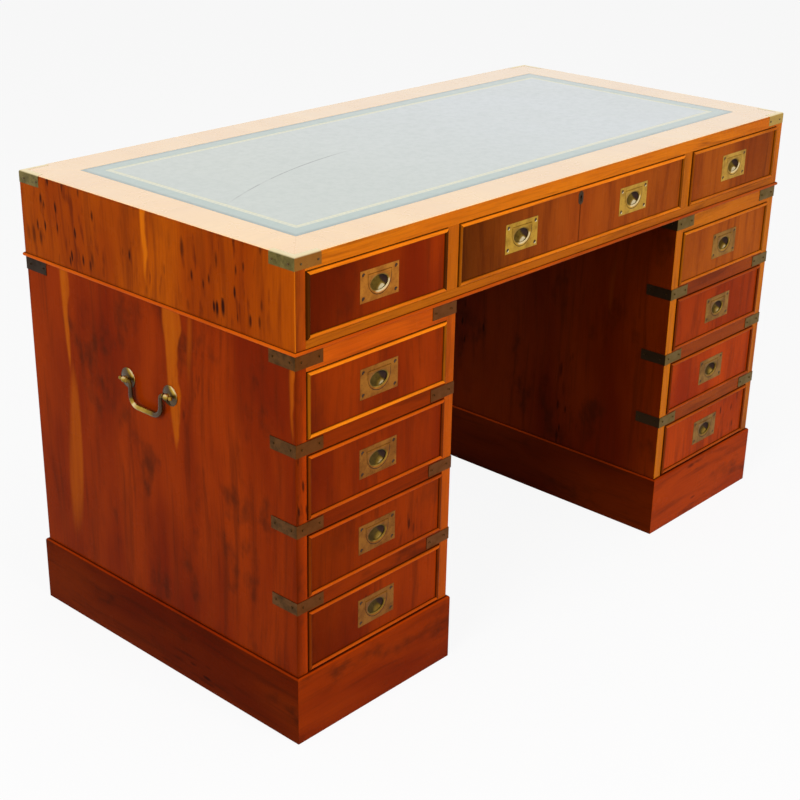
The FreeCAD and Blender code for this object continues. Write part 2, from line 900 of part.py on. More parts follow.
def strap_at_origin(level_z):
    """A strap and its pins round a corner at the origin: legs run to +X and +Y, outside the wood."""
    outer = block(
        -strap_thickness, strap_leg, -strap_thickness, strap_leg, level_z - strap_height / 2,
        level_z + strap_height / 2,
    )
    wood = block(
        0, strap_leg + overrun, 0, strap_leg + overrun,
        level_z - strap_height / 2 - overrun, level_z + strap_height / 2 + overrun,
    )
    strap = outer.cut(wood)
    corner = [
        edge for edge in strap.Edges
        if edge.BoundBox.ZLength > strap_height / 2
        and edge.BoundBox.XMax < 0
        and edge.BoundBox.YMax < 0
    ]
    strap = strap.makeFillet(strap_round, corner)
    places = [pin_near_inset, strap_leg - pin_end_inset]
    holes = leg_pins(places, level_z, pin_radius + pin_fit, 2 * overrun, overrun)
    length = strap_thickness + pin_proud
    return [strap.cut(holes)] + leg_pins(places, level_z, pin_radius, length, length)


def make_straps():
    """Straps at the top of every pedestal corner, and at each rail on the front corners."""
    top_level = pedestal_top_z - strap_drop - strap_height / 2
    rail_levels = [
        opening_bottom(level) - pedestal_rail_height / 2 for level in range(pedestal_drawer_count - 1)
    ]
    solids = []
    for start in pedestal_starts.values():
        centre = Vector(start + pedestal_width / 2, 0, 0)
        for piece in strap_at_origin(top_level):
            for solid in corner_set(piece, pedestal_width / 2, pedestal_back_y):
                solids.append(solid.translated(centre))
        for level_z in rail_levels:
            for piece in strap_at_origin(level_z):
                near_left = piece.translated(Vector(-pedestal_width / 2, pedestal_front_y, 0))
                solids.append(near_left.translated(centre))
                solids.append(mirrored(near_left).translated(centre))
    return solids


# Carrying handles

def handle_axis_x():
    """The left handle's swing axis, in front of the pedestal's outer side."""
    return pedestal_left_x - post_standoff


def rosette_dome(y):
    """The low dome of a rosette, in front of its straight edge."""
    ball_radius = (post_rosette_radius ** 2 + post_rosette_rise ** 2) / (2 * post_rosette_rise)
    edge_angle = math.degrees(math.asin((ball_radius - post_rosette_rise) / ball_radius))
    centre_x = pedestal_left_x - post_rosette_edge - post_rosette_rise + ball_radius
    return Part.makeSphere(ball_radius, Vector(centre_x, y, handle_height), -along_x, edge_angle, 90, 360)


def handle_post(y):
    """A post of the left handle: domed rosette, stem, bored eye and the spigot in the wood."""
    axis_x = handle_axis_x()
    rosette = Part.makeCylinder(
        post_rosette_radius, post_rosette_edge, Vector(pedestal_left_x, y, handle_height), -along_x
    )
    stem = Part.makeCylinder(
        post_stem_radius, post_standoff, Vector(pedestal_left_x, y, handle_height), -along_x
    )
    eye = Part.makeSphere(post_eye_radius, Vector(axis_x, y, handle_height))
    spigot = Part.makeCylinder(
        post_spigot_radius, post_spigot_length, Vector(pedestal_left_x, y, handle_height), along_x
    )
    bore = Part.makeCylinder(
        bail_pin_radius + bail_pin_fit, 2 * post_eye_radius,
        Vector(axis_x, y - post_eye_radius, handle_height), along_y,
    )
    return rosette.fuse([rosette_dome(y), stem, eye, spigot]).removeSplitter().cut(bore)


def make_left_bail():
    """A hanging bow between the posts, with pins through both eyes and a ball on each pin's end."""
    axis_x = handle_axis_x()
    half = post_spacing / 2
    leg_y = half - bail_leg_inset
    neck_y = leg_y + bail_neck_radius
    neck_z = handle_height - bail_neck_radius
    foot_z = handle_height - bail_drop
    bow_y = leg_y - bail_bow_radius
    bow_z = foot_z + bail_bow_radius
    diagonal_share = 0.5 ** 0.5

    def place(y, z):
        return Vector(axis_x, handle_setback + y, z)

    neck_mid_y = neck_y - bail_neck_radius * diagonal_share
    neck_mid_z = neck_z + bail_neck_radius * diagonal_share
    bow_mid_y = bow_y + bail_bow_radius * diagonal_share
    bow_mid_z = bow_z - bail_bow_radius * diagonal_share
    path = Part.Wire([
        arc(place(neck_y, handle_height), place(neck_mid_y, neck_mid_z), place(leg_y, neck_z)),
        line(place(leg_y, neck_z), place(leg_y, bow_z)),
        arc(place(leg_y, bow_z), place(bow_mid_y, bow_mid_z), place(bow_y, foot_z)),
        line(place(bow_y, foot_z), place(-bow_y, foot_z)),
        arc(place(-bow_y, foot_z), place(-bow_mid_y, bow_mid_z), place(-leg_y, bow_z)),
        line(place(-leg_y, bow_z), place(-leg_y, neck_z)),
        arc(place(-leg_y, neck_z), place(-neck_mid_y, neck_mid_z), place(-neck_y, handle_height)),
    ])
    section = Part.Wire([Part.Circle(place(neck_y, handle_height), along_y, bail_radius).toShape()])
    bow = path.makePipeShell([section], True, False)
    pieces = []
    tip_y = half + post_eye_radius + bail_tip_gap + bail_tip_radius
    for side in (-1, 1):
        start_y = min(side * neck_y, side * tip_y)
        pieces.append(
            Part.makeCylinder(bail_pin_radius, tip_y - neck_y, place(start_y, handle_height), along_y)
        )
        pieces.append(Part.makeSphere(bail_tip_radius, place(side * tip_y, handle_height)))
    return bow.fuse(pieces).removeSplitter()


def on_right_side(shape):
    """A piece of the left handle turned half round and set as far back on the other pedestal."""
    return half_turned(shape).translated(Vector(0, 2 * handle_setback, 0))


# Build every node

os.makedirs("parts", exist_ok=True)

cap_solids, cap_cuts = make_caps()
export("top_corner_caps", cap_solids)
export("top_board", [make_top(cap_cuts)])
export("leather_top", [make_leather()])
export("frieze_case", make_frieze_case())

left_pedestal = make_left_pedestal()
export("left_pedestal_case", left_pedestal)
export("right_pedestal_case", [mirrored(solid) for solid in left_pedestal])
left_plinth = make_left_plinth()
export("left_plinth", left_plinth)
export("right_plinth", [mirrored(solid) for solid in left_plinth])
export("drawer_runners", make_runners())
export("pedestal_straps", make_straps())

posts = [handle_post(y) for y in post_places()]
export("carry_handle_posts", posts + [on_right_side(post) for post in posts])
left_bail = make_left_bail()
export("left_carry_bail", [left_bail])
export("right_carry_bail", [on_right_side(left_bail)])

export("lock_case", make_lock_case())
export("lock_bolt", [make_lock_bolt()])

drawers = list_drawers()
for drawer in drawers:
    board, beads = drawer.front()
    if drawer.name == "centre_frieze_drawer":
        board = board.cut(lock_front_cuts())
    export(drawer.name + "_front", [board] + beads)
    export(drawer.name + "_box", drawer.box())
    export(drawer.name + "_pull_plate", drawer.plates())
    for node, tongue in drawer.tongues().items():
        export(node, [tongue])
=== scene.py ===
import json
import math
import random

import bmesh
import bpy
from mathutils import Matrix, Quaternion, Vector

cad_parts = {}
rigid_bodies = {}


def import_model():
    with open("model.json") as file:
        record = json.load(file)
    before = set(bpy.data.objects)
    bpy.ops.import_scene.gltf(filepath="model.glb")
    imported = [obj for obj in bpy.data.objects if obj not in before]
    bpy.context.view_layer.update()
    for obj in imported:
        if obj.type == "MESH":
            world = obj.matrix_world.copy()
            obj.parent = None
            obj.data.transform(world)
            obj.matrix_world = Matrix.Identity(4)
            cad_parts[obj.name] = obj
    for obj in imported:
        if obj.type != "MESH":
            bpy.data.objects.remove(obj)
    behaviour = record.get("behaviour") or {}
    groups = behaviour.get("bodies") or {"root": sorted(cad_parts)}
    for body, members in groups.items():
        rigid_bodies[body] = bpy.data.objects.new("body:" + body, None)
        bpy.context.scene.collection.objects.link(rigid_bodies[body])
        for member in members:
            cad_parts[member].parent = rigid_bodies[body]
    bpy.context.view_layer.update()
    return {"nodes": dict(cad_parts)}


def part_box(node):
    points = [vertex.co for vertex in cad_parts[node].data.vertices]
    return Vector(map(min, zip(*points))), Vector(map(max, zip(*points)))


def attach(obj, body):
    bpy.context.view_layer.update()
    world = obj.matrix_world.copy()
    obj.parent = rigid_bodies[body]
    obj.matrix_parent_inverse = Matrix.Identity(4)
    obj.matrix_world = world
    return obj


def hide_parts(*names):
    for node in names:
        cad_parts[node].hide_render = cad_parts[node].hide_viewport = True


# Campaign desk in yew veneer with brass mounts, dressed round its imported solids.
# Frame: +X to the right, +Y to the back, +Z up. All lengths are metres.

for item in list(bpy.data.objects):
    bpy.data.objects.remove(item)
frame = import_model()
scene = bpy.context.scene
mm = 0.001

# Sizes of the case boards
cap_proud = 0.25 * mm
veneer_sink = 0.15 * mm
border_slab = 0.9 * mm
border_round = 0.6 * mm
border_ease = 0.2 * mm
cap_leg = 50.0 * mm
cap_shoulder = 3.7 * mm
board_thickness = 20.0 * mm
board_ease = 0.5 * mm
lipping = 1.2 * mm
# Width of a strip of brighter yew along each front corner of the frieze: a painted highlight on the edge
corner_highlight_width = 1.5 * mm
frieze_back = 12.0 * mm
frieze_rail_height = 18.5 * mm
frieze_rail_depth = 60.0 * mm
frieze_floor = 6.0 * mm
frieze_bead_radius = 3.25 * mm
divider_thickness = 25.0 * mm
centre_bay = 599.0 * mm
pedestal_back = 10.0 * mm
pedestal_top = 12.0 * mm
pedestal_floor = 10.0 * mm
pedestal_floor_rise = 2.0 * mm
top_rail_height = 28.0 * mm
rail_height = 24.0 * mm
rail_depth = 50.0 * mm
plinth_thickness = 22.0 * mm
plinth_round = 4.0 * mm
plinth_block = 36.0 * mm
pin_head_radius = 1.7 * mm
pin_head_height = 0.3 * mm
pin_head_steps = ((0.0, 1.0), (0.5, 1.0), (0.85, 0.8), (1.0, 0.4))
pin_reach = 12.0 * mm

# Sizes of the drawers
bead_width = 6.0 * mm
bead_proud = 3.5 * mm
bead_seat = 8.0 * mm
front_clearance = 1.0 * mm
front_ease = 0.25 * mm
box_side = 9.0 * mm
box_bottom = 5.0 * mm
box_bottom_lift = 4.0 * mm
pull_pocket_margin = 1.5 * mm
pull_pocket_depth = 17.0 * mm
bolt_travel = 8.0 * mm
mortise_clearance = 3.0 * mm
keyhole_drop = 18.5 * mm
keyhole_half_width = 2.4 * mm
keyhole_half_height = 5.5 * mm
keyhole_depth = 12.0 * mm
veneer_joint = 9.0 * mm

# Sizes of the flush pulls
plate_width = 79.0 * mm
plate_height = 47.5 * mm
plate_thickness = 3.0 * mm
plate_ease = 0.4 * mm
window_width = 48.0 * mm
window_height = 33.5 * mm
window_top_margin = 7.3 * mm
bowl_radius = 19.0 * mm
bowl_depth = 11.0 * mm
bowl_wall = 1.2 * mm
tongue_gap = 0.4 * mm
tongue_thickness = 2.2 * mm
tongue_ease = 0.3 * mm
tongue_band = 5.6 * mm
hinge_pin_length = 2.6 * mm
hinge_pin_radius = 0.8 * mm
hole_height = 22.0 * mm
hole_bevel = 1.7 * mm
hole_steps = ((1.0, 0.0), (0.45, 0.3 * mm), (0.1, 0.9 * mm), (0.0, 1.5 * mm))
screw_inset = 6.3 * mm
screw_radius = 2.3 * mm
screw_head_sink = 0.45 * mm
screw_head_taper = 0.94
screw_depth = 2.0 * mm
countersink_radius = 3.1 * mm
countersink_depth = 0.9 * mm
countersink_foot = 0.2 * mm
slot_half_width = 0.35 * mm

# Sizes of the carrying handles
post_standoff = 8.0 * mm
post_spacing = 99.0 * mm
rosette_radius = 16.5 * mm
rosette_steps = (
    (0.0, 1.0), (1.0, 1.0), (1.5, 0.97), (1.3, 0.9), (1.5, 0.86), (2.3, 0.7), (2.9, 0.5), (3.3, 0.36),
)
post_neck = (4.2 * mm, 5.0 * mm)
eye_radius = 5.5 * mm
bail_end_radius = 3.0 * mm
bail_middle_radius = 4.8 * mm
bail_drop = 37.5 * mm
bail_leg_inset = 14.0 * mm
bail_neck_radius = 6.0 * mm
bail_neck_overlap = 0.5 * mm
bail_bow_radius = 17.0 * mm
bail_pin_radius = 2.2 * mm
bail_collar_radius = 4.4 * mm
bail_collar_length = 2.4 * mm
bail_collar_flat = 1.0 * mm
bail_collar_gap = 0.2 * mm
bail_tip_radius = 3.4 * mm
bail_tip_gap = 0.5 * mm
point_radius = 0.1 * mm

# Leather and its tooling
leather_round = 0.5 * mm
tooling_inset = 32.0 * mm
tooling_half_width = 4.5 * mm
tooling_depth = 0.25 * mm
tooling_pitch = 9.0 * mm

# Camera fitted to the photograph, which is 800 pixels wide
camera_place = (-1.9420, -1.6844, 1.3773)
camera_target = (-0.14615, -0.06041, 0.33687)
camera_roll = math.radians(1.158)
camera_focal_pixels = 1521.71
picture_pixels = 800
sensor_width_mm = 36.0

# Places read from the frame, and those that follow from them
top_low, top_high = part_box("top_board")
leather_low, leather_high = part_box("leather_top")
frieze_low, frieze_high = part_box("frieze_case")
kneehole_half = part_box("right_pedestal_case")[0].x
left_x, right_x = top_low.x, top_high.x
front_y, back_y = top_low.y, top_high.y
left_edge, right_edge = left_x + cap_proud, right_x - cap_proud
front_edge, back_edge = front_y + cap_proud, back_y - cap_proud
inner_left, inner_right = left_x + board_thickness, right_x - board_thickness
near_x, far_x = left_x + cap_leg, right_x - cap_leg
near_y, far_y = front_y + cap_leg, back_y - cap_leg
leather_border = leather_low.x - left_x
surface_z = top_high.z - veneer_sink
slab_z = surface_z - border_slab
shoulder_z = top_high.z - cap_shoulder
flap_reach = window_width / 2 - tongue_gap
pedestal_sides = ("left", "right")
pedestal_levels = (1, 2, 3, 4)

x_axis = Vector((1, 0, 0))
z_axis = Vector((0, 0, 1))
sharp_angle = math.radians(35)
tiny = 1e-9
draw = random.Random(11)


# Small helpers

def colour(red, green, blue):
    """A display colour from 0 to 255 as the linear colour that a shader takes."""
    linear = []
    for value in (red, green, blue):
        share = value / 255
        linear.append(share / 12.92 if share <= 0.04045 else ((share + 0.055) / 1.055) ** 2.4)
    return (*linear, 1.0)


def fresh_shift():
    """A far-off place in the grain, so that no two boards are cut alike."""
    return Vector((draw.uniform(3, 9), draw.uniform(3, 9), draw.uniform(3, 9)))


def grain_along(axis, shift=None):
    """A rule that turns a point into grain coordinates: along the grain, then across it twice."""
    order = {"x": (0, 1, 2), "y": (1, 0, 2), "z": (2, 1, 0)}[axis]
    offset = fresh_shift() if shift is None else Vector(shift)
    return lambda point: Vector([point[i] for i in order]) + offset


def ease_between(value, low, high):
    """A smooth share from 0 to 1 as the value goes from low to high."""
    share = min(max((value - low) / (high - low), 0.0), 1.0)
    return share * share * (3 - 2 * share)


def along_points(value, points):
    """A value read off straight lines between pairs of place and level."""
    for (place, level), (next_place, next_level) in zip(points, points[1:]):
        if value <= next_place:
            return level + (next_level - level) * (value - place) / (next_place - place)
    return points[-1][1]


def ramp(x_from, x_to, tones):
    """A tone that changes evenly from one end of a board to the other."""
    return lambda point: tones[0] + (tones[1] - tones[0]) * (point[0] - x_from) / (x_to - x_from)


def arc_points(centre, radius, start, end, count):
    """Points on an arc, as pairs, from one angle in degrees to another."""
    points = []
    for step in range(count + 1):
        angle = math.radians(start + (end - start) * step / count)
        points.append((centre[0] + radius * math.cos(angle), centre[1] + radius * math.sin(angle)))
    return points


def circle(middle, radius, side, other, count):
    """Points round a circle, from its middle and two directions across it."""
    turns = [2 * math.pi * i / count for i in range(count)]
    return [middle + radius * (math.cos(turn) * side + math.sin(turn) * other) for turn in turns]


class Shape:
    """A mesh in the making, of one material except where faces are given another paint.

    Each vertex carries grain coordinates and the tone of its board, which also holds painted light and shade.
    """

    def __init__(self, material):
        self.materials = [material]
        self.mesh = bmesh.new()
        self.grain = self.mesh.verts.layers.float_vector.new("grain")
        self.tone = self.mesh.verts.layers.float.new("tone")

    def add(self, points, faces, grain=None, tone=1.0, paint=None, smooth=False):
        """Vertices at the points, and faces given by their numbers. A tone may be a rule."""
        made = []
        for number, point in enumerate(points):
            vertex = self.mesh.verts.new(point)
            vertex[self.grain] = grain(vertex.co) if grain else vertex.co
            level = tone[number] if isinstance(tone, list) else tone
            vertex[self.tone] = level(vertex.co) if callable(level) else level
            made.append(vertex)
        for number, corners in enumerate(faces):
            face = self.mesh.faces.new([made[corner] for corner in corners])
            material = (paint[number] if isinstance(paint, list) else paint) or self.materials[0]
            if material not in self.materials:
                self.materials.append(material)
            face.material_index = self.materials.index(material)
            face.smooth = smooth

    def box(self, span, grain, tone=1.0, paint=None):
        """A board from its six limits: low and high x, y and z."""
        points = [(x, y, z) for z in span[4:] for y in span[2:4] for x in span[:2]]
        faces = [(0, 2, 3, 1), (4, 5, 7, 6), (0, 1, 5, 4), (2, 6, 7, 3), (0, 4, 6, 2), (1, 3, 7, 5)]
        self.add(points, faces, grain, tone, paint)

    def boards(self, rows):
        """Boards from rows of six limits, the axis of the grain, a tone and a paint."""
        for *span, axis, tone, paint in rows:
            self.box(span, grain_along(axis), tone, paint)

    def mitred_ring(self, rectangle, profile, grains, tones, paint=None, smooth=False, upright=False):
        """Four mitred lengths round a lying or upright rectangle, from pairs of inset and depth."""
        low_a, high_a, low_b, high_b = rectangle
        corners = []
        for a, b, in_a, in_b in (
            (low_a, low_b, 1, 1), (high_a, low_b, -1, 1), (high_a, high_b, -1, -1), (low_a, high_b, 1, -1),
        ):
            ring = [(a + in_a * inset, b + in_b * inset, depth) for inset, depth in profile]
            corners.append([(x, z, y) for x, y, z in ring] if upright else ring)
        for side in range(4):
            ends = [corners[side], corners[(side + 1) % 4]]
            self.loft(ends, smooth=smooth, paint=paint, tone=tones[side], grain=grains[side])

    def pocketed_board(self, span, pockets, grain, tone=1.0, paint=None, lying=False):
        """A board with pockets in its front face, each given as an x range, a z range and a depth.

        A lying board is given as if it stood on its front edge, and has the pockets in its underside.
        """
        front, back = span[2:4]
        xs = sorted(set(span[:2]).union(*[pocket[0] for pocket in pockets]))
        zs = sorted(set(span[4:]).union(*[pocket[1] for pocket in pockets]))
        numbers = {}
        faces = []

        def add_face(*corners):
            faces.append([numbers.setdefault(corner, len(numbers)) for corner in corners])

        def level(i, k):
            """Where the front of a cell lies, or the board's back outside the grid."""
            if not (0 <= i < len(xs) - 1 and 0 <= k < len(zs) - 1):
                return back
            middle_x = (xs[i] + xs[i + 1]) / 2
            middle_z = (zs[k] + zs[k + 1]) / 2
            for x_range, z_range, depth in pockets:
                if x_range[0] < middle_x < x_range[1] and z_range[0] < middle_z < z_range[1]:
                    return front + depth
            return front

        for i, (x, next_x) in enumerate(zip(xs, xs[1:])):
            for k, (z, next_z) in enumerate(zip(zs, zs[1:])):
                for y in (level(i, k), back):
                    add_face((x, y, z), (next_x, y, z), (next_x, y, next_z), (x, y, next_z))
        # Walls between cells side by side, then between cells one above the other
        for beside, above in ((1, 0), (0, 1)):
            for i in range(len(xs) - above):
                for k in range(len(zs) - beside):
                    near, far = level(i - beside, k - above), level(i, k)
                    x, z = xs[i + above], zs[k + beside]
                    if near != far:
                        add_face((xs[i], near, zs[k]), (xs[i], far, zs[k]), (x, far, z), (x, near, z))
        points = [(x, z, y) for x, y, z in numbers] if lying else list(numbers)
        self.add(points, faces, grain, tone, paint)

    def loft(self, rings, ends="capped", smooth=True, paint=None, tone=1.0, grain=None):
        """Faces between rings of equally many points.

        The ends are capped, open, joined to each other, or shut at the last ring only. Lists of tones
        and paints have one for each ring.
        """
        count = len(rings[0])
        if isinstance(tone, list):
            tone = [level for level in tone for _ in range(count)]
        if isinstance(paint, list):
            paint = [material for material in paint for _ in range(count)]
        points = [point for ring in rings for point in ring]
        faces = []
        for ring in range(len(rings) if ends == "joined" else len(rings) - 1):
            here = ring * count
            there = (ring + 1) % len(rings) * count
            for i in range(count):
                j = (i + 1) % count
                faces.append((here + i, here + j, there + j, there + i))
        if ends == "capped":
            faces.append(range(count))
        if ends in ("capped", "shut"):
            faces.append(range(len(points) - count, len(points)))
        self.add(points, faces, grain, tone, paint, smooth)

    def lathe(self, profile, centre, axis, count=32, tone=1.0):
        """A turned form: distance along the axis and radius pairs, spun round the axis."""
        axis = Vector(axis).normalized()
        side = axis.orthogonal().normalized()
        other = axis.cross(side)
        middle = Vector(centre)
        rings = [circle(middle + axis * distance, radius, side, other, count) for distance, radius in profile]
        self.loft(rings, tone=tone)

    def fill_face(self, loops, tone):
        """A flat face with holes, between closed loops of points."""
        edges = []
        for loop in loops:
            made = [self.mesh.verts.new(point) for point in loop]
            for i, vertex in enumerate(made):
                vertex[self.tone] = tone
                edges.append(self.mesh.edges.new((vertex, made[(i + 1) % len(made)])))
        bmesh.ops.triangle_fill(self.mesh, use_beauty=True, edges=edges)

    def finish(self, name, body, nodes=(), ease=0.0):
        """The mesh as a piece that rides on a body and stands for the nodes."""
        bmesh.ops.recalc_face_normals(self.mesh, faces=self.mesh.faces)
        for edge in self.mesh.edges:
            edge.smooth = edge.calc_face_angle(0.0) < sharp_angle
        data = bpy.data.meshes.new(name)
        self.mesh.to_mesh(data)
        self.mesh.free()
        for material in self.materials:
            data.materials.append(material)
        piece = bpy.data.objects.new(name, data)
        scene.collection.objects.link(piece)
        if ease:
            bevel = piece.modifiers.new("eased_edges", "BEVEL")
            bevel.width = ease
            bevel.segments = 2
            bevel.limit_method = "ANGLE"
            bevel.angle_limit = sharp_angle
        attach(piece, body)
        if nodes:
            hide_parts(*nodes)

    def dress(self, node, body, ease=0.0):
        """The mesh as the piece that stands for one node."""
        self.finish(node + ".dressed", body, [node], ease)


class Value:
    """An output of a shader's node. Its arithmetic adds more nodes."""

    def __init__(self, shader, socket):
        self.shader = shader
        self.socket = socket

    def math(self, operation, first, second=0.0):
        return self.shader.value("ShaderNodeMath", 0, {0: first, 1: second}, operation=operation)

    def __add__(self, other):
        return self.math("ADD", self, other)

    def __sub__(self, other):
        return self.math("SUBTRACT", self, other)

    def __rsub__(self, other):
        return self.math("SUBTRACT", other, self)

    def __mul__(self, other):
        return self.math("MULTIPLY", self, other)

    def __pow__(self, other):
        return self.math("POWER", self, other)

    def __abs__(self):
        return self.math("ABSOLUTE", self)

    def most(self, other):
        return self.math("MAXIMUM", self, other)

    def axis(self, letter):
        return self.shader.value("ShaderNodeSeparateXYZ", letter, {"Vector": self})

    def stretch(self, along, across):
        scales = (along, across, across)
        return self.shader.value("ShaderNodeVectorMath", 0, {0: self, 1: scales}, operation="MULTIPLY")

    def scaled(self, factor):
        return self.shader.value("ShaderNodeVectorMath", 0, {0: self, "Scale": factor}, operation="SCALE")

    def noise(self, scale, across=None, detail=2.0, roughness=0.5):
        """Noise of one scale, or of one scale along the grain and another across it."""
        inputs = {"Vector": self, "Scale": scale, "Detail": detail, "Roughness": roughness}
        if across:
            inputs.update({"Vector": self.stretch(scale, across), "Scale": 1.0})
        return self.shader.value("ShaderNodeTexNoise", "Fac", inputs)

    def step(self, low, high, start=0.0, end=1.0):
        """A smooth change from start to end as the value goes from low to high."""
        inputs = {"Value": self, "From Min": low, "From Max": high, "To Min": start, "To Max": end}
        return self.shader.value("ShaderNodeMapRange", "Result", inputs, interpolation_type="SMOOTHSTEP")

    def mixed(self, factor, other):
        """This colour with a share of another one over it."""
        return self.shader.mix(factor, self, other)

    def bump(self, strength, distance):
        inputs = {"Height": self, "Strength": strength, "Distance": distance}
        return self.shader.value("ShaderNodeBump", "Normal", inputs)


class Shader:
    """Short calls that add nodes to a material or a world and join them up."""

    def __init__(self, owner):
        owner.use_nodes = True
        self.owner = owner
        self.tree = owner.node_tree
        self.tree.nodes.clear()

    def node(self, kind, inputs, **settings):
        """A new node, whose inputs are values of other nodes or plain settings."""
        made = self.tree.nodes.new(kind)
        for key, setting in settings.items():
            setattr(made, key, setting)
        for key, source in inputs.items():
            if isinstance(source, Value):
                self.tree.links.new(source.socket, made.inputs[key])
            else:
                made.inputs[key].default_value = source
        return made

    def value(self, kind, output, inputs, **settings):
        return Value(self, self.node(kind, inputs, **settings).outputs[output])

    def attribute(self, name, output):
        return self.value("ShaderNodeAttribute", output, {}, attribute_name=name)

    def object_place(self):
        return self.value("ShaderNodeTexCoord", "Object", {})

    def mix(self, factor, first, second):
        """A mix of two colours, each a value or red, green and blue from 0 to 255."""
        first, second = [colour(*paint) if isinstance(paint, tuple) else paint for paint in (first, second)]
        return self.value("ShaderNodeMix", 2, {0: factor, 6: first, 7: second}, data_type="RGBA")

    def seen(self):
        """One for what the camera, mirrors and glass see, and nothing for light on surfaces."""
        rays = self.node("ShaderNodeLightPath", {}).outputs
        camera, glossy, through = [
            Value(self, rays[name]) for name in ("Is Camera Ray", "Is Glossy Ray", "Is Transmission Ray")
        ]
        return camera.most(glossy).most(through)

    def surface(self, **inputs):
        """The finished material, from the surface's own sockets with spaces written as underscores."""
        named = {key.replace("_", " "): source for key, source in inputs.items()}
        self.node("ShaderNodeOutputMaterial", {"Surface": self.value("ShaderNodeBsdfPrincipled", 0, named)})
        return self.owner


# Materials

# Pale streaks and knotty patches of the left end: heights and places along the depth.
# The frieze end is cut from another leaf, one metre further along the grain.
frieze_leaf = 1.0
left_streaks = (
    (0.640, 0.440, 0.212, 10 * mm),
    (0.640, 0.385, -0.047, 19 * mm),
    (0.610, 0.480, -0.301, 6 * mm),
    (frieze_leaf + 0.790, frieze_leaf + 0.635, 0.005, 8 * mm),
)
left_clusters = ((frieze_leaf + 0.705, -0.165, 0.14), (frieze_leaf + 0.705, 0.195, 0.14))
streak_sway = 3 * mm
dark_grain = (92, 30, 4)
smoke = (62, 26, 8)
knot = (44, 14, 4)


def streak(along, across, start, end, centre, half_width):
    """A tapering pale streak in the grain, from its widest end to its point."""
    line = along.shader.value("ShaderNodeCombineXYZ", 0, {"X": along, "Y": centre})
    waver = line.noise(14.0)
    width = along.step(end, start) ** 0.45 * waver.step(0.2, 0.8, 0.65 * half_width, 1.35 * half_width)
    offset = across + waver.step(0.2, 0.8, -centre - streak_sway, streak_sway - centre)
    present = along.step(start, start + 0.02, 1.0, 0.0) * along.step(end, end + 0.04)
    return (abs(offset) - width).step(-4.0 * mm, 2.0 * mm, 1.0, 0.0) * present


def cluster(along, across, centre_along, centre_across, reach):
    """A soft round patch in the grain where knots lie close together."""
    far = ((along - centre_along) ** 2.0 + (across - centre_across) ** 2.0) ** 0.5
    return far.step(0.4 * reach, reach, 1.0, 0.0)


def yew(
    name, light, deep, sap, specular,
    coat=0.0, coat_index=1.5, knotty=1.0, figure=1.0, smoky=0.65, banded=0.7,
):
    """Polished yew: streaked heartwood, pale sapwood, dark pips and smoky patches.

    The tone makes a board lighter or darker, and also carries painted light and shade; dark boards are
    duller.
    """
    shader = Shader(bpy.data.materials.new(name))
    grain = shader.attribute("grain", "Vector")
    tone = shader.attribute("tone", "Fac")
    along = grain.axis("X")
    across = grain.axis("Y")
    wander = grain.noise(3.0, 6.0, detail=1.0) * 0.04
    sideways = shader.value("ShaderNodeCombineXYZ", 0, {"Y": wander, "Z": wander})
    bent = shader.value("ShaderNodeVectorMath", 0, {0: grain, 1: sideways}, operation="ADD")
    broad = bent.noise(2.5, 9.0, detail=3.0)
    bands = bent.noise(3.5, 60.0, detail=4.0, roughness=0.65)
    fine = bent.noise(14.0, 420.0)
    haze = grain.noise(9.0, 15.0, detail=4.0, roughness=0.6)
    body = shader.mix(broad.step(0.3, 0.7), light, deep)
    body = body.mixed(bands.step(0.48, 0.72, 0.0, 0.5 * figure), dark_grain)
    body = body.mixed(fine.step(0.45, 0.75, 0.0, 0.2 * figure), dark_grain)
    body = body.mixed(haze.step(0.54, 0.74, 0.0, smoky * knotty), smoke)
    pale = bent.noise(1.1, 10.0, detail=1.0).step(0.72, 0.76, 0.0, banded)
    for mark in left_streaks:
        pale = pale.most(streak(along, across, *mark))
    body = body.mixed(pale * 0.85, shader.mix(bands.step(0.35, 0.75, 0.0, 0.5), sap, light))
    patch = grain.noise(4.0, 5.0, detail=1.0).step(0.6, 0.7)
    for mark in left_clusters:
        patch = patch.most(cluster(along, across, *mark))
    patch = patch * knotty
    wisps = bent.noise(16.0, 90.0, detail=3.0).step(0.55, 0.68)
    body = body.mixed(wisps * patch * 0.6, dark_grain)
    for size, kept in ((1.0, 0.58), (0.6, 0.66)):
        place = bent.stretch(26.0 * size, 95.0 * size)
        cells = shader.node("ShaderNodeTexVoronoi", {"Vector": place, "Scale": 1.0}).outputs
        pips = Value(shader, cells["Distance"]).step(0.12, 0.34, 1.0, 0.0)
        chosen = Value(shader, cells["Color"]).axis("X").step(kept, kept + 0.1)
        body = body.mixed(pips * chosen * patch * 0.8, knot)
    return shader.surface(
        Base_Color=body.scaled(tone),
        Roughness=grain.noise(20.0, 20.0, detail=3.0).step(0.25, 0.75, 0.22, 0.3),
        Normal=(fine + bands * 0.5).bump(0.12 * figure, 0.15 * mm),
        Specular_IOR_Level=tone.step(0.45, 0.7, 0.6 * specular, specular),
        Coat_Weight=coat,
        Coat_Roughness=0.12,
        Coat_IOR=coat_index,
    )


def timber(name, from_layer):
    """Plain pale secondary timber, from the grain layer or from the object's own place."""
    shader = Shader(bpy.data.materials.new(name))
    grain = shader.attribute("grain", "Vector") if from_layer else shader.object_place()
    fine = grain.noise(12.0, 380.0)
    body = shader.mix(grain.noise(2.0, 45.0, detail=3.0).step(0.3, 0.7), (196, 150, 96), (158, 108, 62))
    return shader.surface(
        Base_Color=body.mixed(fine.step(0.4, 0.8, 0.0, 0.3), (110, 70, 38)),
        Roughness=fine.step(0.2, 0.8, 0.5, 0.68),
        Normal=fine.bump(0.25, 0.2 * mm),
        Specular_IOR_Level=0.3,
    )


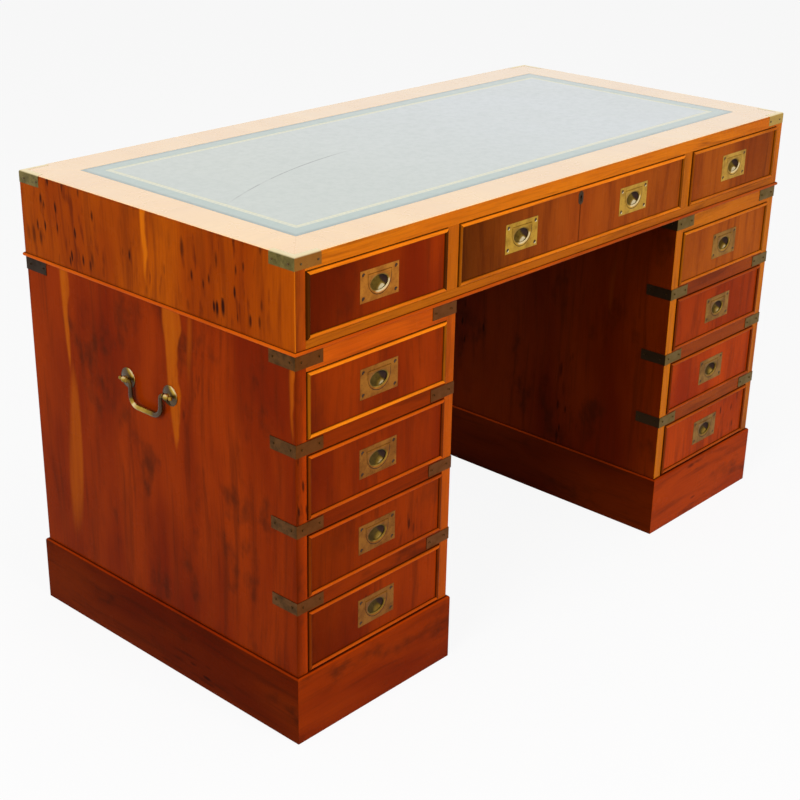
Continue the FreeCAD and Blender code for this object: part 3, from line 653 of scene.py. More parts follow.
def metal(
    name, bright, dull, tarnish, smooth, rough,
    toned=False, top_highlight=None, front_shading=None, kneehole_shade=None,
):
    """Brass with a clouded patina and fine scratches.

    It can follow the tone of its shape, which holds painted light and shade; have a pale painted highlight
    where it faces up; have other colours on its front from left to right, a painted difference in light from
    its sides;
    and have painted shade at the back and by the kneehole.
    """
    shader = Shader(bpy.data.materials.new(name))
    place = shader.object_place()
    clouds = place.noise(60.0, detail=4.0, roughness=0.6)
    specks = place.noise(420.0, detail=3.0, roughness=0.6)
    scratches = place.noise(300.0, 2200.0)
    body = shader.mix(clouds.step(0.35, 0.7), bright, dull).mixed(specks.step(0.55, 0.75, 0.0, 0.6), tarnish)
    normal = shader.value("ShaderNodeNewGeometry", "Normal", {})
    # Front faces get other colours than the sides: a painted difference in light and reflection
    if front_shading:
        front = shader.mix(place.axis("X").step(0.0, 0.3), *front_shading)
        body = body.mixed(normal.axis("Y").step(-0.9, -0.3, 0.8, 0.0), front)
    # Painted shade on faces by the kneehole and at the back
    if kneehole_shade:
        inner = abs(place.axis("X")).step(kneehole_half + 2 * mm, kneehole_half + 6 * mm, 1.0, 0.0)
        hidden = inner.most(place.axis("Y").step(0.1, 0.2))
        body = body.mixed(hidden * abs(normal.axis("X")).step(0.3, 0.9), kneehole_shade)
    # A pale painted highlight on faces that point up
    if top_highlight:
        body = body.mixed(normal.axis("Z").step(0.3, 0.9, 0.0, 0.9), top_highlight)
    metallic = 1.0
    if toned:
        tone = shader.attribute("tone", "Fac")
        metallic = tone.step(0.1, 0.55, 0.3, 1.0)
        # Low tones turn to dark brown and high tones to pale gold: painted shade, reflection and highlight
        body = body.scaled(tone).mixed(tone.step(0.1, 0.55, 0.85, 0.0), (50, 24, 12))
        body = body.mixed(tone.step(1.05, 1.6, 0.0, 0.9), (250, 238, 200))
    return shader.surface(
        Base_Color=body,
        Metallic=metallic,
        Roughness=clouds.step(0.3, 0.75, smooth, rough) + specks.step(0.5, 0.8, 0.0, 0.15),
        Normal=(scratches + specks).bump(0.08, 0.05 * mm),
    )


def leather_hide(name):
    """Tooled hide: a darker margin, a gilt band pressed in all round, a paler field that is partly painted
    sheen, and one long crease.
    """
    shader = Shader(bpy.data.materials.new(name))
    place = shader.object_place()
    x = place.axis("X")
    y = place.axis("Y")
    from_end = (leather_high.x - leather_low.x) / 2 - abs(x)
    from_side = (leather_high.y - leather_low.y) / 2 - abs(y)
    inset = from_end.math("MINIMUM", from_end, from_side)
    clouds = place.noise(5.0, detail=4.0, roughness=0.6)
    mottle = place.noise(90.0, detail=4.0, roughness=0.65)
    pores = shader.value("ShaderNodeTexVoronoi", "Distance", {"Vector": place, "Scale": 900.0})
    # The field's pale grey-green is lighter than the hide's own colour: in part a painted sheen of glare
    body = shader.mix(x.step(-0.45, 0.35), (176, 186, 176), (186, 196, 200))
    body = body.mixed(clouds.step(0.3, 0.7, 0.0, 0.35), (166, 178, 172))
    body = body.mixed(mottle.step(0.4, 0.75, 0.0, 0.15), (140, 154, 150))
    body = body.mixed(inset.step(tooling_inset - 2 * mm, tooling_inset + 4 * mm, 0.85, 0.0), (138, 164, 154))
    body = body.mixed(inset.step(1.0 * mm, 11.0 * mm, 0.75, 0.0), (50, 88, 84))
    # The gilt band: a wave between two lines
    line = inset - tooling_inset
    apart = abs(line)
    run = (x + y) * (2 * math.pi / tooling_pitch)
    beat = run.math("SINE", run)
    wave = abs(line - beat * (0.4 * tooling_half_width)).step(0.8 * mm, 1.5 * mm, 1.0, 0.0)
    rails = abs(apart - 0.82 * tooling_half_width).step(0.4 * mm, 0.9 * mm, 1.0, 0.0)
    pattern = wave.most(rails).step(0.0, 1.0, 0.55, 1.0)
    band = apart.step(tooling_half_width - 0.4 * mm, tooling_half_width + 0.4 * mm, 1.0, 0.0)
    body = body.mixed(band * pattern * mottle.step(0.35, 0.6, 0.75, 1.0), (222, 216, 172))
    # The crease: a shallow bow that comes and goes
    bow = (x + 0.12) ** 2.0 * -0.62 + 0.044
    off_crease = abs(y - bow) + mottle.step(0.2, 0.8, 0.0, 2 * mm)
    reach = x.step(-0.53, -0.47) * x.step(-0.24, -0.15, 1.0, 0.0)
    reach = reach * place.noise(24.0).step(0.36, 0.52, 0.25, 1.0)
    crease = off_crease.step(1.2 * mm, 3.6 * mm, 1.0, 0.0) * reach
    return shader.surface(
        Base_Color=body.mixed(crease * 0.8, (84, 96, 88)),
        Roughness=mottle.step(0.3, 0.7, 0.3, 0.42),
        Normal=(pores * 0.5 + mottle * 0.5 - crease).bump(0.2, 0.25 * mm),
        Specular_IOR_Level=0.5,
        Coat_Weight=1.0,
        Coat_Roughness=0.22,
        Coat_IOR=2.0,
    )


red_wood = ((162, 55, 2), (124, 32, 1), (196, 96, 8))
yew_panel = yew("yew_panel", *red_wood, 0.013)
yew_front = yew("yew_front", *red_wood, 0.013, smoky=0.35, banded=0.0)
yew_end = yew("yew_end", (164, 74, 2), (134, 50, 1), (206, 108, 8), 0.013, knotty=1.25, smoky=0.16)
yew_gold = yew("yew_gold", (168, 82, 14), (138, 58, 8), (190, 104, 20), 0.014, knotty=0.4, banded=0.2)
yew_trim = yew("yew_trim", (172, 74, 4), (150, 56, 3), (196, 100, 12), 0.022, knotty=0.3)
yew_edge = yew("yew_edge", (206, 112, 10), (188, 92, 8), (216, 130, 24), 0.022, knotty=0.2)
# The border's pale peach stands in part for glare on the polished top: a painted sheen under a real coat
yew_border = yew(
    "yew_border", (250, 200, 122), (244, 190, 112), (250, 204, 130), 0.5,
    coat=1.0, coat_index=2.0, knotty=0.0, figure=0.12,
)
pale_timber = timber("pale_timber", True)
runner_timber = timber("runner_timber", False)
pull_brass = metal("pull_brass", (188, 118, 36), (160, 94, 26), (112, 68, 24), 0.38, 0.52, toned=True)
pale_brass = metal("pale_brass", (196, 150, 46), (166, 122, 36), (116, 84, 28), 0.38, 0.52, toned=True)
brown_brass = metal("brown_brass", (182, 126, 28), (150, 98, 20), (106, 68, 18), 0.38, 0.52, toned=True)
bowl_brass = metal("bowl_brass", (176, 142, 62), (150, 116, 44), (104, 78, 30), 0.6, 0.72, toned=True)
handle_brass = metal("handle_brass", (190, 154, 62), (140, 106, 36), (70, 54, 22), 0.22, 0.36, toned=True)
dark_brass = metal("dark_brass", (70, 48, 24), (50, 34, 18), (34, 24, 14), 0.35, 0.5)
lock_brass = metal("lock_brass", (186, 116, 38), (154, 90, 28), (104, 64, 26), 0.2, 0.38)
# The caps' tops carry a pale painted highlight, and their fronts a painted difference in light
cap_brass = metal(
    "cap_brass", (120, 106, 56), (86, 76, 36), (58, 46, 22), 0.25, 0.42,
    top_highlight=(248, 230, 184), front_shading=((156, 94, 30), (192, 152, 60)),
)
# The straps' fronts carry a painted difference in light, and their faces by the kneehole and at the back
# painted shade
strap_brass = metal(
    "strap_brass", (98, 60, 22), (74, 48, 18), (44, 32, 14), 0.4, 0.6,
    front_shading=((110, 58, 12), (112, 88, 32)), kneehole_shade=(46, 30, 14),
)
green_hide = leather_hide("green_hide")


# Tones of the boards

border_tones = [1.0, 0.97, 1.0, 1.02]
edge_tone = 1.05
core_tone = 0.9
hidden_tone = 0.8
frieze_rail_tone = 0.75
divider_tone = 0.85
# A painted highlight along the frieze bead's ridge, and painted shade where beads meet the boards
ridge_highlight_tone = 1.4
right_ridge_highlight_tone = 0.95
bead_edge_shade_tone = 0.2
# Painted shade at the cock beads' feet, on the upright beads and on the beads' flanks
bead_foot_shade_tone = 0.12
upright_bead_shade_tone = 0.45
deep_upright_bead_shade_tone = 0.13
bead_flank_shade_share = 0.55
veneer_joint_share = 0.3
outer_tone = 0.75
# The sides that face the kneehole have a lower tone: painted shade
kneehole_shade_tone = 0.42
# Plinths: painted shade on the top, a painted highlight on the rounded edge, and painted shade on the faces
# by the kneehole
plinth_top_shade_tone = 0.3
plinth_highlight_tone = 1.0
plinth_front_tones = {"left": 0.76, "right": 1.0}
plinth_outer_tone = 0.36
plinth_kneehole_shade_tone = 0.3
plinth_back_tone = 0.7
# How much of its tone a board gains or loses from its foot to its top; by the kneehole the loss is painted
# shade under the frieze
outer_fade = 0.15
kneehole_shade_fade = -0.45
# Tones from left to right, and paint, of the lips on the left and right boards
frieze_lips = (((0.6, 1.15), yew_trim), ((0.95, 0.95), yew_edge))
pedestal_lips = {
    "left": (((0.45, 1.2), yew_panel), ((1.1, 1.1), yew_trim)),
    "right": (((0.85, 0.85), yew_edge), ((0.85, 0.85), yew_edge)),
}
# Tone and paint of the pedestals' rails
top_rails = {"left": (1.4, yew_trim), "right": (0.85, yew_edge)}
drawer_rails = {"left": (0.65, yew_panel), "right": (0.72, yew_trim)}
# Tones of each drawer's field, from left to right
field_tones = {
    "left_frieze_drawer": (0.46, 0.95),
    "centre_frieze_drawer": (0.28, 1.15),
    "right_frieze_drawer": (1.02, 0.8),
    "left_drawer_1": (0.72, 0.85),
    "left_drawer_2": (0.68, 0.85),
    "left_drawer_3": (0.52, 0.8),
    "left_drawer_4": (0.5, 0.88),
    "right_drawer_1": (1.02, 1.05),
    "right_drawer_2": (1.0, 0.95),
    "right_drawer_3": (1.25, 1.2),
    "right_drawer_4": (1.2, 1.1),
}
centre_right_tones = (1.15, 0.93)
golden_fronts = ("centre_frieze_drawer", "right_frieze_drawer", "right_drawer_1")
# Tones by the level of a pedestal drawer: its plate, and the lower and upper beads, whose tones are a painted
# highlight on their noses
plate_tones = {1: 0.72, 2: 0.66, 3: 0.6, 4: 0.56}
bead_highlight_tones = {1: (1.4, 1.45), 2: (1.4, 1.4), 3: (1.35, 1.35), 4: (1.3, 1.3)}
frieze_bead_highlight_tones = (1.2, 1.4)
right_bead_share = 0.75
# Painted light and shade along a bail, highlights and dark reflections, as places from its back end to its
# front end and their levels
bail_light_and_shade = (
    (0.0, 0.5), (0.1, 0.16), (0.2, 0.2), (0.3, 1.35), (0.4, 1.05),
    (0.55, 0.8), (0.66, 0.25), (0.9, 0.14), (1.0, 0.4),
)
# Painted light on the bail's ends: the front end brighter than the back
bail_end_light = {-1: 1.0, 1: 0.7}
slot_tone = 0.08
screw_tone = 0.22
# A brighter painted highlight on the centre drawer's countersinks
centre_countersink_highlight = 1.5
pin_head_tone = 0.3


# Top and leather

def make_top():
    """Crossbanded border, the edge strips under it and the core that the leather lies on."""
    shape = Shape(yew_border)
    width = leather_border - cap_shoulder
    outline = [(width, slab_z), (width, surface_z), (0, surface_z), (0, slab_z)]
    rectangle = (left_x + cap_shoulder, right_x - cap_shoulder, front_y + cap_shoulder, back_y - cap_shoulder)
    grains = [grain_along(axis) for axis in "yxyx"]
    shape.mitred_ring(rectangle, outline, grains, border_tones)
    rim_width = cap_shoulder - cap_proud
    rim = [(rim_width, slab_z), (rim_width, surface_z)]
    rim += arc_points((border_round, surface_z - border_round), border_round, 90, 180, 4) + [(0, slab_z)]
    strips = (
        ((near_x, front_edge), (far_x, front_edge), (0, 1)),
        ((right_edge, near_y), (right_edge, far_y), (-1, 0)),
        ((near_x, back_edge), (far_x, back_edge), (0, -1)),
        ((left_edge, near_y), (left_edge, far_y), (1, 0)),
    )
    for (start, end, (in_x, in_y)), grain, tone in zip(strips, grains, border_tones):
        ends = [[(x + in_x * inset, y + in_y * inset, z) for inset, z in rim] for x, y in (start, end)]
        shape.loft(ends, smooth=False, tone=tone, grain=grain)
    for y_from in (front_edge, back_edge - board_thickness):
        y_to = y_from + board_thickness
        grain = grain_along("x")
        shape.box((inner_left, inner_right, y_from, y_to, top_low.z, shoulder_z), grain, edge_tone, yew_edge)
        shape.box((near_x, far_x, y_from, y_to, shoulder_z, slab_z), grain, edge_tone, yew_edge)
    core = (inner_left, inner_right, front_y + board_thickness, back_y - board_thickness)
    bolt_low, bolt_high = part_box("lock_bolt")
    mortise = (
        (bolt_low.x - mortise_clearance, bolt_high.x + mortise_clearance),
        (bolt_low.y - mortise_clearance, bolt_high.y + mortise_clearance),
        bolt_high.z + bolt_travel + mortise_clearance - top_low.z,
    )
    core_span = (*core[:2], top_low.z, leather_low.z, *core[2:])
    shape.pocketed_board(core_span, [mortise], grain_along("x"), core_tone, yew_trim, lying=True)
    ledge = leather_border - board_thickness
    under = [(0, leather_low.z), (0, slab_z), (ledge, slab_z), (ledge, leather_low.z)]
    shape.mitred_ring(core, under, grains, [core_tone] * 4, yew_trim)
    shape.dress("top_board", "desk_case", border_ease)


def make_leather():
    """The hide with a rolled edge and the line that the tooling presses into it."""
    shape = Shape(green_hide)
    top = leather_high.z
    pressed = top - tooling_depth
    near = tooling_inset - tooling_half_width
    far = tooling_inset + tooling_half_width
    steps = [(0.0, leather_low.z), (0.0, top - leather_round), (leather_round, top), (near, top)]
    steps += [(near + tooling_depth, pressed), (far - tooling_depth, pressed), (far, top)]
    rings = []
    for inset, z in steps:
        x_from, x_to = leather_low.x + inset, leather_high.x - inset
        y_from, y_to = leather_low.y + inset, leather_high.y - inset
        rings.append([(x_from, y_from, z), (x_to, y_from, z), (x_to, y_to, z), (x_from, y_to, z)])
    shape.loft(rings, smooth=False)
    shape.dress("leather_top", "desk_case")


# Frieze case

def make_frieze():
    """Ends with a lip at the front, back, rail, floor, dividers and the bead round the foot."""
    shape = Shape(yew_panel)
    bottom, top = frieze_low.z, frieze_high.z
    rail_top = bottom + frieze_rail_height
    rail_back = front_y + frieze_rail_depth
    floor_top = bottom + frieze_floor
    back_from = back_y - frieze_back
    lip_back = front_edge + lipping
    lip_rest = (front_edge, lip_back, bottom, shoulder_z)
    left_end = (left_edge, inner_left, grain_along("z", (frieze_leaf, 0, 0)))
    right_end = (inner_right, right_edge, grain_along("z"))
    for (x_from, x_to, grain), (lip_tones, lip_paint) in zip((left_end, right_end), frieze_lips):
        shape.box((x_from, x_to, lip_back, back_edge, bottom, shoulder_z), grain, edge_tone, yew_end)
        shape.box((x_from, x_to, near_y, far_y, shoulder_z, slab_z), grain, edge_tone, yew_end)
        split = x_from + corner_highlight_width if x_from < 0 else x_to - corner_highlight_width
        lip, line = ((split, x_to), (x_from, split)) if x_from < 0 else ((x_from, split), (split, x_to))
        shape.box((*lip, *lip_rest), grain_along("z"), ramp(x_from, x_to, lip_tones), lip_paint)
        # The strip at the corner is a painted highlight
        shape.box((*line, *lip_rest), grain_along("z"), 1.0, yew_edge)
    inner = (inner_left, inner_right)
    rows = [
        (*inner, back_from, back_y, bottom, top, "x", core_tone, yew_panel),
        (*inner, front_y, rail_back, bottom, rail_top, "x", frieze_rail_tone, yew_edge),
        (*inner, rail_back, back_from, bottom, floor_top, "x", hidden_tone, pale_timber),
    ]
    for x_from in (-centre_bay / 2 - divider_thickness, centre_bay / 2):
        divider = (x_from, x_from + divider_thickness)
        rows.append((*divider, front_y, rail_back, rail_top, top, "z", divider_tone, yew_edge))
        rows.append((*divider, rail_back, back_from, floor_top, top, "y", hidden_tone, pale_timber))
    shape.boards(rows)
    radius = frieze_bead_radius
    ridge_z = bottom + radius
    outline = [(-across, ridge_z + up) for across, up in arc_points((0, 0), radius, -90, 90, 8)]
    grains = [grain_along(axis) for axis in "xyxy"]

    def ridged(ridge):
        """A painted highlight along the bead's ridge and painted shade where it meets the boards."""
        return lambda point: ridge(point) if abs(point[2] - ridge_z) < 0.9 * radius else bead_edge_shade_tone

    front = ridged(ramp(left_x, right_x, (ridge_highlight_tone, right_ridge_highlight_tone)))
    other = ridged(lambda point: ridge_highlight_tone)
    tones = [front, other, other, other]
    foot = (left_x, right_x, front_y, back_y)
    shape.mitred_ring(foot, outline, grains, tones, yew_trim, smooth=True)
    shape.dress("frieze_case", "desk_case", board_ease)


# Pedestals and plinths. The sides that face the kneehole are darker: painted shade.

def make_pedestal(side):
    """Two sides with a lip at the front, back, top, floor and four rails."""
    node = side + "_pedestal_case"
    low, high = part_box(node)
    plinth_low, plinth_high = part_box(side + "_plinth")
    foot = plinth_high.z
    shape = Shape(yew_panel)
    bay_from = low.x + board_thickness
    bay_to = high.x - board_thickness
    rail_back = low.y + rail_depth
    back_from = high.y - pedestal_back
    floor_z = foot + pedestal_floor_rise
    lip_back = low.y + lipping

    def faded(level):
        """Darker towards the floor; where the board faces the kneehole, painted shade that deepens under the
        frieze.
        """
        change = kneehole_shade_fade if level == kneehole_shade_tone else outer_fade
        start = 1 - max(change, 0)
        return lambda point: level * (start + change * (point[2] - foot) / (high.z - foot))

    # The streaks lie in the leaf with no shift, on the left of the desk
    left_side = (low.x, bay_from, grain_along("z", (0, 0, 0) if side == "left" else None))
    right_side = (bay_to, high.x, grain_along("z"))
    levels = (outer_tone, kneehole_shade_tone) if side == "left" else (kneehole_shade_tone, outer_tone)
    boards = zip((left_side, right_side), levels, pedestal_lips[side])
    for (x_from, x_to, grain), level, (lip_tones, lip_paint) in boards:
        shape.box((x_from, x_to, lip_back, high.y, foot, high.z), grain, faded(level))
        lip = (x_from, x_to, low.y, lip_back, foot, high.z)
        shape.box(lip, grain_along("z"), ramp(x_from, x_to, lip_tones), lip_paint)
    bay = (bay_from, bay_to)
    floor_y = (plinth_low.y + plinth_thickness, plinth_high.y - plinth_thickness)
    rows = [
        (*bay, back_from, high.y, foot, high.z, "z", faded(outer_tone), yew_panel),
        (*bay, rail_back, back_from, high.z - pedestal_top, high.z, "y", core_tone, pale_timber),
        (*bay, *floor_y, floor_z - pedestal_floor, floor_z, "y", core_tone, pale_timber),
        (*bay, low.y, rail_back, high.z - top_rail_height, high.z, "x", *top_rails[side]),
    ]
    for level in pedestal_levels[:-1]:
        rail_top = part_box("%s_drawer_%d_front" % (side, level))[0].z - front_clearance
        rows.append((*bay, low.y, rail_back, rail_top - rail_height, rail_top, "x", *drawer_rails[side]))
    shape.boards(rows)
    shape.dress(node, "desk_case", board_ease)


def make_plinth(side):
    """Four mitred boards with a rounded top edge, and a block in each corner."""
    node = side + "_plinth"
    low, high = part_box(node)
    shape = Shape(yew_panel)
    outline = [(plinth_thickness, low.z), (plinth_thickness, high.z)]
    outline += arc_points((plinth_round, high.z - plinth_round), plinth_round, 90, 180, 6) + [(0, low.z)]
    grains = [grain_along(axis) for axis in "xyxy"]

    def shade(face_tone):
        """Dark faces, with painted shade on the top and a painted highlight along the rounded edge between
        them.
        """
        def rule(point):
            drop = (high.z - point[2]) / plinth_round
            if drop < 0.1:
                return plinth_top_shade_tone
            return plinth_highlight_tone if drop < 0.6 else face_tone
        return rule

    outer, inner = shade(plinth_outer_tone), shade(plinth_kneehole_shade_tone)
    left, right = (outer, inner) if side == "left" else (inner, outer)
    tones = [shade(plinth_front_tones[side]), right, shade(plinth_back_tone), left]
    shape.mitred_ring((low.x, high.x, low.y, high.y), outline, grains, tones, smooth=True)
    block_top = high.z + pedestal_floor_rise - pedestal_floor
    for x_from in (low.x + plinth_thickness, high.x - plinth_thickness - plinth_block):
        for y_from in (low.y + plinth_thickness, high.y - plinth_thickness - plinth_block):
            block = (x_from, x_from + plinth_block, y_from, y_from + plinth_block, low.z, block_top)
            shape.box(block, grain_along("z"), 1.0, pale_timber)
    shape.dress(node, "desk_case", board_ease)


# Drawers

def joint_darkened(tone):
    """A tone that darkens where the two leaves of the centre drawer meet."""
    near = keyhole_half_width / 2
    return lambda point: tone(point) * (veneer_joint_share if abs(point[0]) < near else 1.0)


def leaf_grain(leaf, sign):
    """Upright grain from one leaf of veneer, mirrored by the sign."""
    return lambda point: Vector((point[2], point[1], sign * point[0])) + leaf


def drawer_level(drawer):
    """A pedestal drawer's number from the top, or nothing for a frieze drawer."""
    return int(drawer[-1]) if drawer[-1].isdigit() else None


def plate_span(drawer):
    """The corners of the drawer's pull plates, without the bowl that rises behind them."""
    low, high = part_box(drawer + "_pull_plate")
    return low, Vector((high.x, high.y, low.z + plate_height))


def pull_names(drawer):
    """The pull tongues' nodes of a drawer."""
    ends = ("_left", "_right") if drawer.startswith("centre") else ("",)
    return [drawer + "_pull_tongue" + end for end in ends]


def pull_centres(drawer):
    """The middle of each of the drawer's pull plates, on the plate's face."""
    plate_low, plate_high = plate_span(drawer)
    centres = []
    for tongue in pull_names(drawer):
        low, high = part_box(tongue)
        centres.append(Vector(((low.x + high.x) / 2, plate_low.y, (plate_low.z + plate_high.z) / 2)))
    return centres


def make_front(drawer):
    """The veneered field with its pockets, the ground behind the beads and the mitred cock beads."""
    node = drawer + "_front"
    low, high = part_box(node)
    shape = Shape(yew_gold if drawer in golden_fronts else yew_front)
    face_y = low.y + bead_proud
    seat_y = face_y + bead_seat
    field_from, field_to = low.x + bead_width, high.x - bead_width
    field_rest = (face_y, high.y, low.z + bead_width, high.z - bead_width)
    plate_low, plate_high = plate_span(drawer)
    pocket_z = (plate_low.z + pull_pocket_margin, plate_high.z - pull_pocket_margin)
    reach = plate_width / 2 - pull_pocket_margin
    pockets = [
        ((centre.x - reach, centre.x + reach), pocket_z, pull_pocket_depth) for centre in pull_centres(drawer)
    ]
    tones = field_tones[drawer]
    if drawer.startswith("centre"):
        key_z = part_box("lock_case")[1].z - keyhole_drop
        key_range = (key_z - keyhole_half_height, key_z + keyhole_half_height)
        leaf = fresh_shift()
        left_half = (field_from, 0.0, -1, pockets[0], ramp(low.x, 0.0, tones))
        right_half = (0.0, field_to, 1, pockets[1], ramp(0.0, high.x, centre_right_tones))
        for x_from, x_to, sign, pocket, tone in (left_half, right_half):
            # The keyhole, and cells with no depth that keep the dark joint narrow beside it
            cuts = [pocket]
            for half_width, depth in ((keyhole_half_width, keyhole_depth), (veneer_joint, 0.0)):
                cuts.append((sorted((0.0, sign * half_width)), key_range, depth))
            half = (x_from, x_to, *field_rest)
            shape.pocketed_board(half, cuts, leaf_grain(leaf, sign), joint_darkened(tone))
    else:
        field = (field_from, field_to, *field_rest)
        shape.pocketed_board(field, pockets, grain_along("z"), ramp(low.x, high.x, tones))
    rectangle = (low.x, high.x, low.z, high.z)
    ground = [(0, seat_y), (bead_width, seat_y), (bead_width, high.y), (0, high.y)]
    grains = [grain_along(axis) for axis in "xzxz"]
    shape.mitred_ring(rectangle, ground, grains, [core_tone] * 4, upright=True)
    nose = bead_width / 2
    rounded = [(nose + across, low.y + nose - up) for across, up in arc_points((0, 0), nose, 180, 0, 8)]
    outline = [(0, seat_y)] + rounded + [(bead_width, seat_y)]

    def bead_shade(tone, outer_side=bead_foot_shade_tone):
        """A painted highlight along the bead's nose and painted shade on its flanks and at its foot."""
        def rule(point):
            depth = (point[1] - low.y) / nose
            if depth > 0.95:
                return outer_side if point[2] > high.z - nose else bead_foot_shade_tone
            return tone if depth < 0.5 else bead_flank_shade_share * tone
        return rule

    level = drawer_level(drawer)
    share = right_bead_share if drawer.startswith("right") else 1.0
    lower, upper = [share * tone for tone in (bead_highlight_tones[level] if level else frieze_bead_highlight_tones)]
    sides = bead_shade(deep_upright_bead_shade_tone if drawer == "left_frieze_drawer" else upright_bead_shade_tone)
    tones = [bead_shade(lower), sides, bead_shade(upper, bead_edge_shade_tone), sides]
    bead = yew_trim if level in (2, 3, 4) else yew_edge
    shape.mitred_ring(rectangle, outline, grains, tones, bead, smooth=True, upright=True)
    shape.dress(node, drawer, front_ease)


def make_box(drawer):
    """The drawer's box: two sides, the back and the bottom."""
    node = drawer + "_box"
    low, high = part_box(node)
    shape = Shape(pale_timber)
    inner = (low.x + box_side, high.x - box_side)
    back_from = high.y - box_side
    bottom_z = low.z + box_bottom_lift
    shape.boards([
        (low.x, inner[0], low.y, high.y, low.z, high.z, "y", 1.0, pale_timber),
        (inner[1], high.x, low.y, high.y, low.z, high.z, "y", 1.0, pale_timber),
        (*inner, back_from, high.y, low.z, high.z, "x", 1.0, pale_timber),
        (*inner, low.y, back_from, bottom_z, bottom_z + box_bottom, "x", 1.0, pale_timber),
    ])
    shape.dress(node, drawer, board_ease)


# Flush pulls

class PullOutline:
    """Rings of a pull round the middle of its bowl, with points in the same directions in each."""

    def __init__(self, drawer, centre_x):
        low, high = plate_span(drawer)
        self.centre_x = centre_x
        self.centre_z = high.z - window_top_margin - window_height + window_width / 2
        self.up = high.z - self.centre_z
        self.down = self.centre_z - low.z
        self.window_up = high.z - window_top_margin - self.centre_z
        self.hinge_up = self.window_up - tongue_gap - plate_thickness / 2
        count = 72
        turns = [2 * math.pi * i / count for i in range(count)]
        for across, height in (
            (plate_width / 2, self.up), (plate_width / 2, -self.down),
            (window_width / 2, self.window_up), (flap_reach, self.hinge_up),
        ):
            turns += [math.atan2(height, sign * across) % (2 * math.pi) for sign in (-1, 1)]
        self.turns = sorted(set(round(turn, 6) for turn in turns))

    def ring(self, rule, y):
        """Points at the distances that a rule gives for each direction."""
        points = []
        for turn in self.turns:
            cosine = math.cos(turn)
            sine = math.sin(turn)
            distance = rule(cosine, sine)
            points.append((self.centre_x + distance * cosine, y, self.centre_z + distance * sine))
        return points

    def plate(self, grow, y):
        """The plate's rectangle."""
        def rule(cosine, sine):
            wide = (plate_width / 2 + grow) / max(abs(cosine), tiny)
            tall = ((self.up if sine > 0 else self.down) + grow) / max(abs(sine), tiny)
            return min(wide, tall)
        return self.ring(rule, y)

    def d_shape(self, radius, top, y):
        """Straight top and sides, half-round below."""
        def rule(cosine, sine):
            if sine <= 0:
                return radius
            return min(radius / max(abs(cosine), tiny), top / max(sine, tiny))
        return self.ring(rule, y)

    def window(self, grow, y):
        return self.d_shape(window_width / 2 + grow, self.window_up + grow, y)

    def flap(self, grow, y):
        """The tongue's flap, which ends at the hinge axis."""
        return self.d_shape(flap_reach + grow, self.hinge_up, y)

    def hole(self, grow, y):
        """The oval finger hole, low in the tongue."""
        reach = flap_reach - tongue_band
        drop = reach - hole_height / 2
        half_width = reach + grow
        half_height = hole_height / 2 + grow

        def rule(cosine, sine):
            first = (cosine / half_width) ** 2 + (sine / half_height) ** 2
            second = sine * drop / half_height ** 2
            third = (drop / half_height) ** 2 - 1
            return (math.sqrt(second ** 2 - first * third) - second) / first
        return self.ring(rule, y)

    def bowl(self, mouth_y, grow, count):
        """Rings of the ball cap from its mouth to near its deepest point."""
        ball = (bowl_radius ** 2 + bowl_depth ** 2) / (2 * bowl_depth)
        middle_y = mouth_y + bowl_depth - ball
        reach = ball + grow
        start = math.asin((mouth_y - middle_y) / reach)
        rings = []
        for step in range(count):
            rise = start + (math.pi / 2 - start) * step / count
            radius = reach * math.cos(rise)
            rings.append(self.ring(lambda cosine, sine: radius, middle_y + reach * math.sin(rise)))
        return rings


def screw_centres(centre):
    """The four screws of a plate, from its middle."""
    reach_x = plate_width / 2 - screw_inset
    reach_z = plate_height / 2 - screw_inset
    return [centre + Vector((i * reach_x, 0, k * reach_z)) for i in (-1, 1) for k in (-1, 1)]


def disc_ring(place, radius, y):
    return circle(Vector((place.x, y, place.z)), radius, x_axis, z_axis, 24)


def add_screw(shape, place, turn):
    """A slotted countersunk head: a floor and two half discs with the slot between them."""
    head_y = place.y + screw_head_sink
    slot_y = place.y + countersink_depth
    floor = [disc_ring(place, screw_radius, y) for y in (slot_y, slot_y + screw_depth)]
    shape.loft(floor, smooth=False, tone=slot_tone)
    lean = math.asin(slot_half_width / screw_radius)
    for half in (0, math.pi):
        start = math.degrees(turn + half + lean)
        end = math.degrees(turn + half + math.pi - lean)
        rim = arc_points((0, 0), screw_radius, start, end, 12)
        upper = [(place.x + screw_head_taper * a, head_y, place.z + screw_head_taper * b) for a, b in rim]
        lower = [(place.x + a, slot_y, place.z + b) for a, b in rim]
        shape.loft([upper, lower], smooth=False, tone=screw_tone)


def plate_tone(drawer):
    """Plates lower down are duller."""
    return plate_tones.get(drawer_level(drawer), 1.0)


def plate_brass(drawer):
    """The centre and right frieze pulls are a paler brass, and those below on the right a browner one."""
    if drawer.startswith("left"):
        return pull_brass
    return brown_brass if drawer_level(drawer) else pale_brass


def bowl_light_and_shade(outline, level):
    """A painted highlight at the lower right of a bowl and painted shade at its right."""
    def rule(point):
        across = (point[0] - outline.centre_x) / bowl_radius
        up = (point[2] - outline.centre_z) / bowl_radius
        bowl_shade = ease_between(across + 0.3 * up, 0.36, 0.64)
        bowl_highlight = ease_between(0.5 * across - 0.87 * up, 0.72, 0.98) * (1 - bowl_shade)
        return level * (0.6 + 1.35 * bowl_highlight) * (1 - 0.94 * bowl_shade)
    return rule


def gap_shade(outline, level):
    """Painted shade in the gap round the tongue, less of it towards the hinge."""
    def rule(point):
        lit_share = ease_between((point[2] - outline.centre_z) / (window_width / 2), -0.1, 0.4)
        return 0.85 * level * lit_share + 0.08 * (1 - lit_share)
    return rule


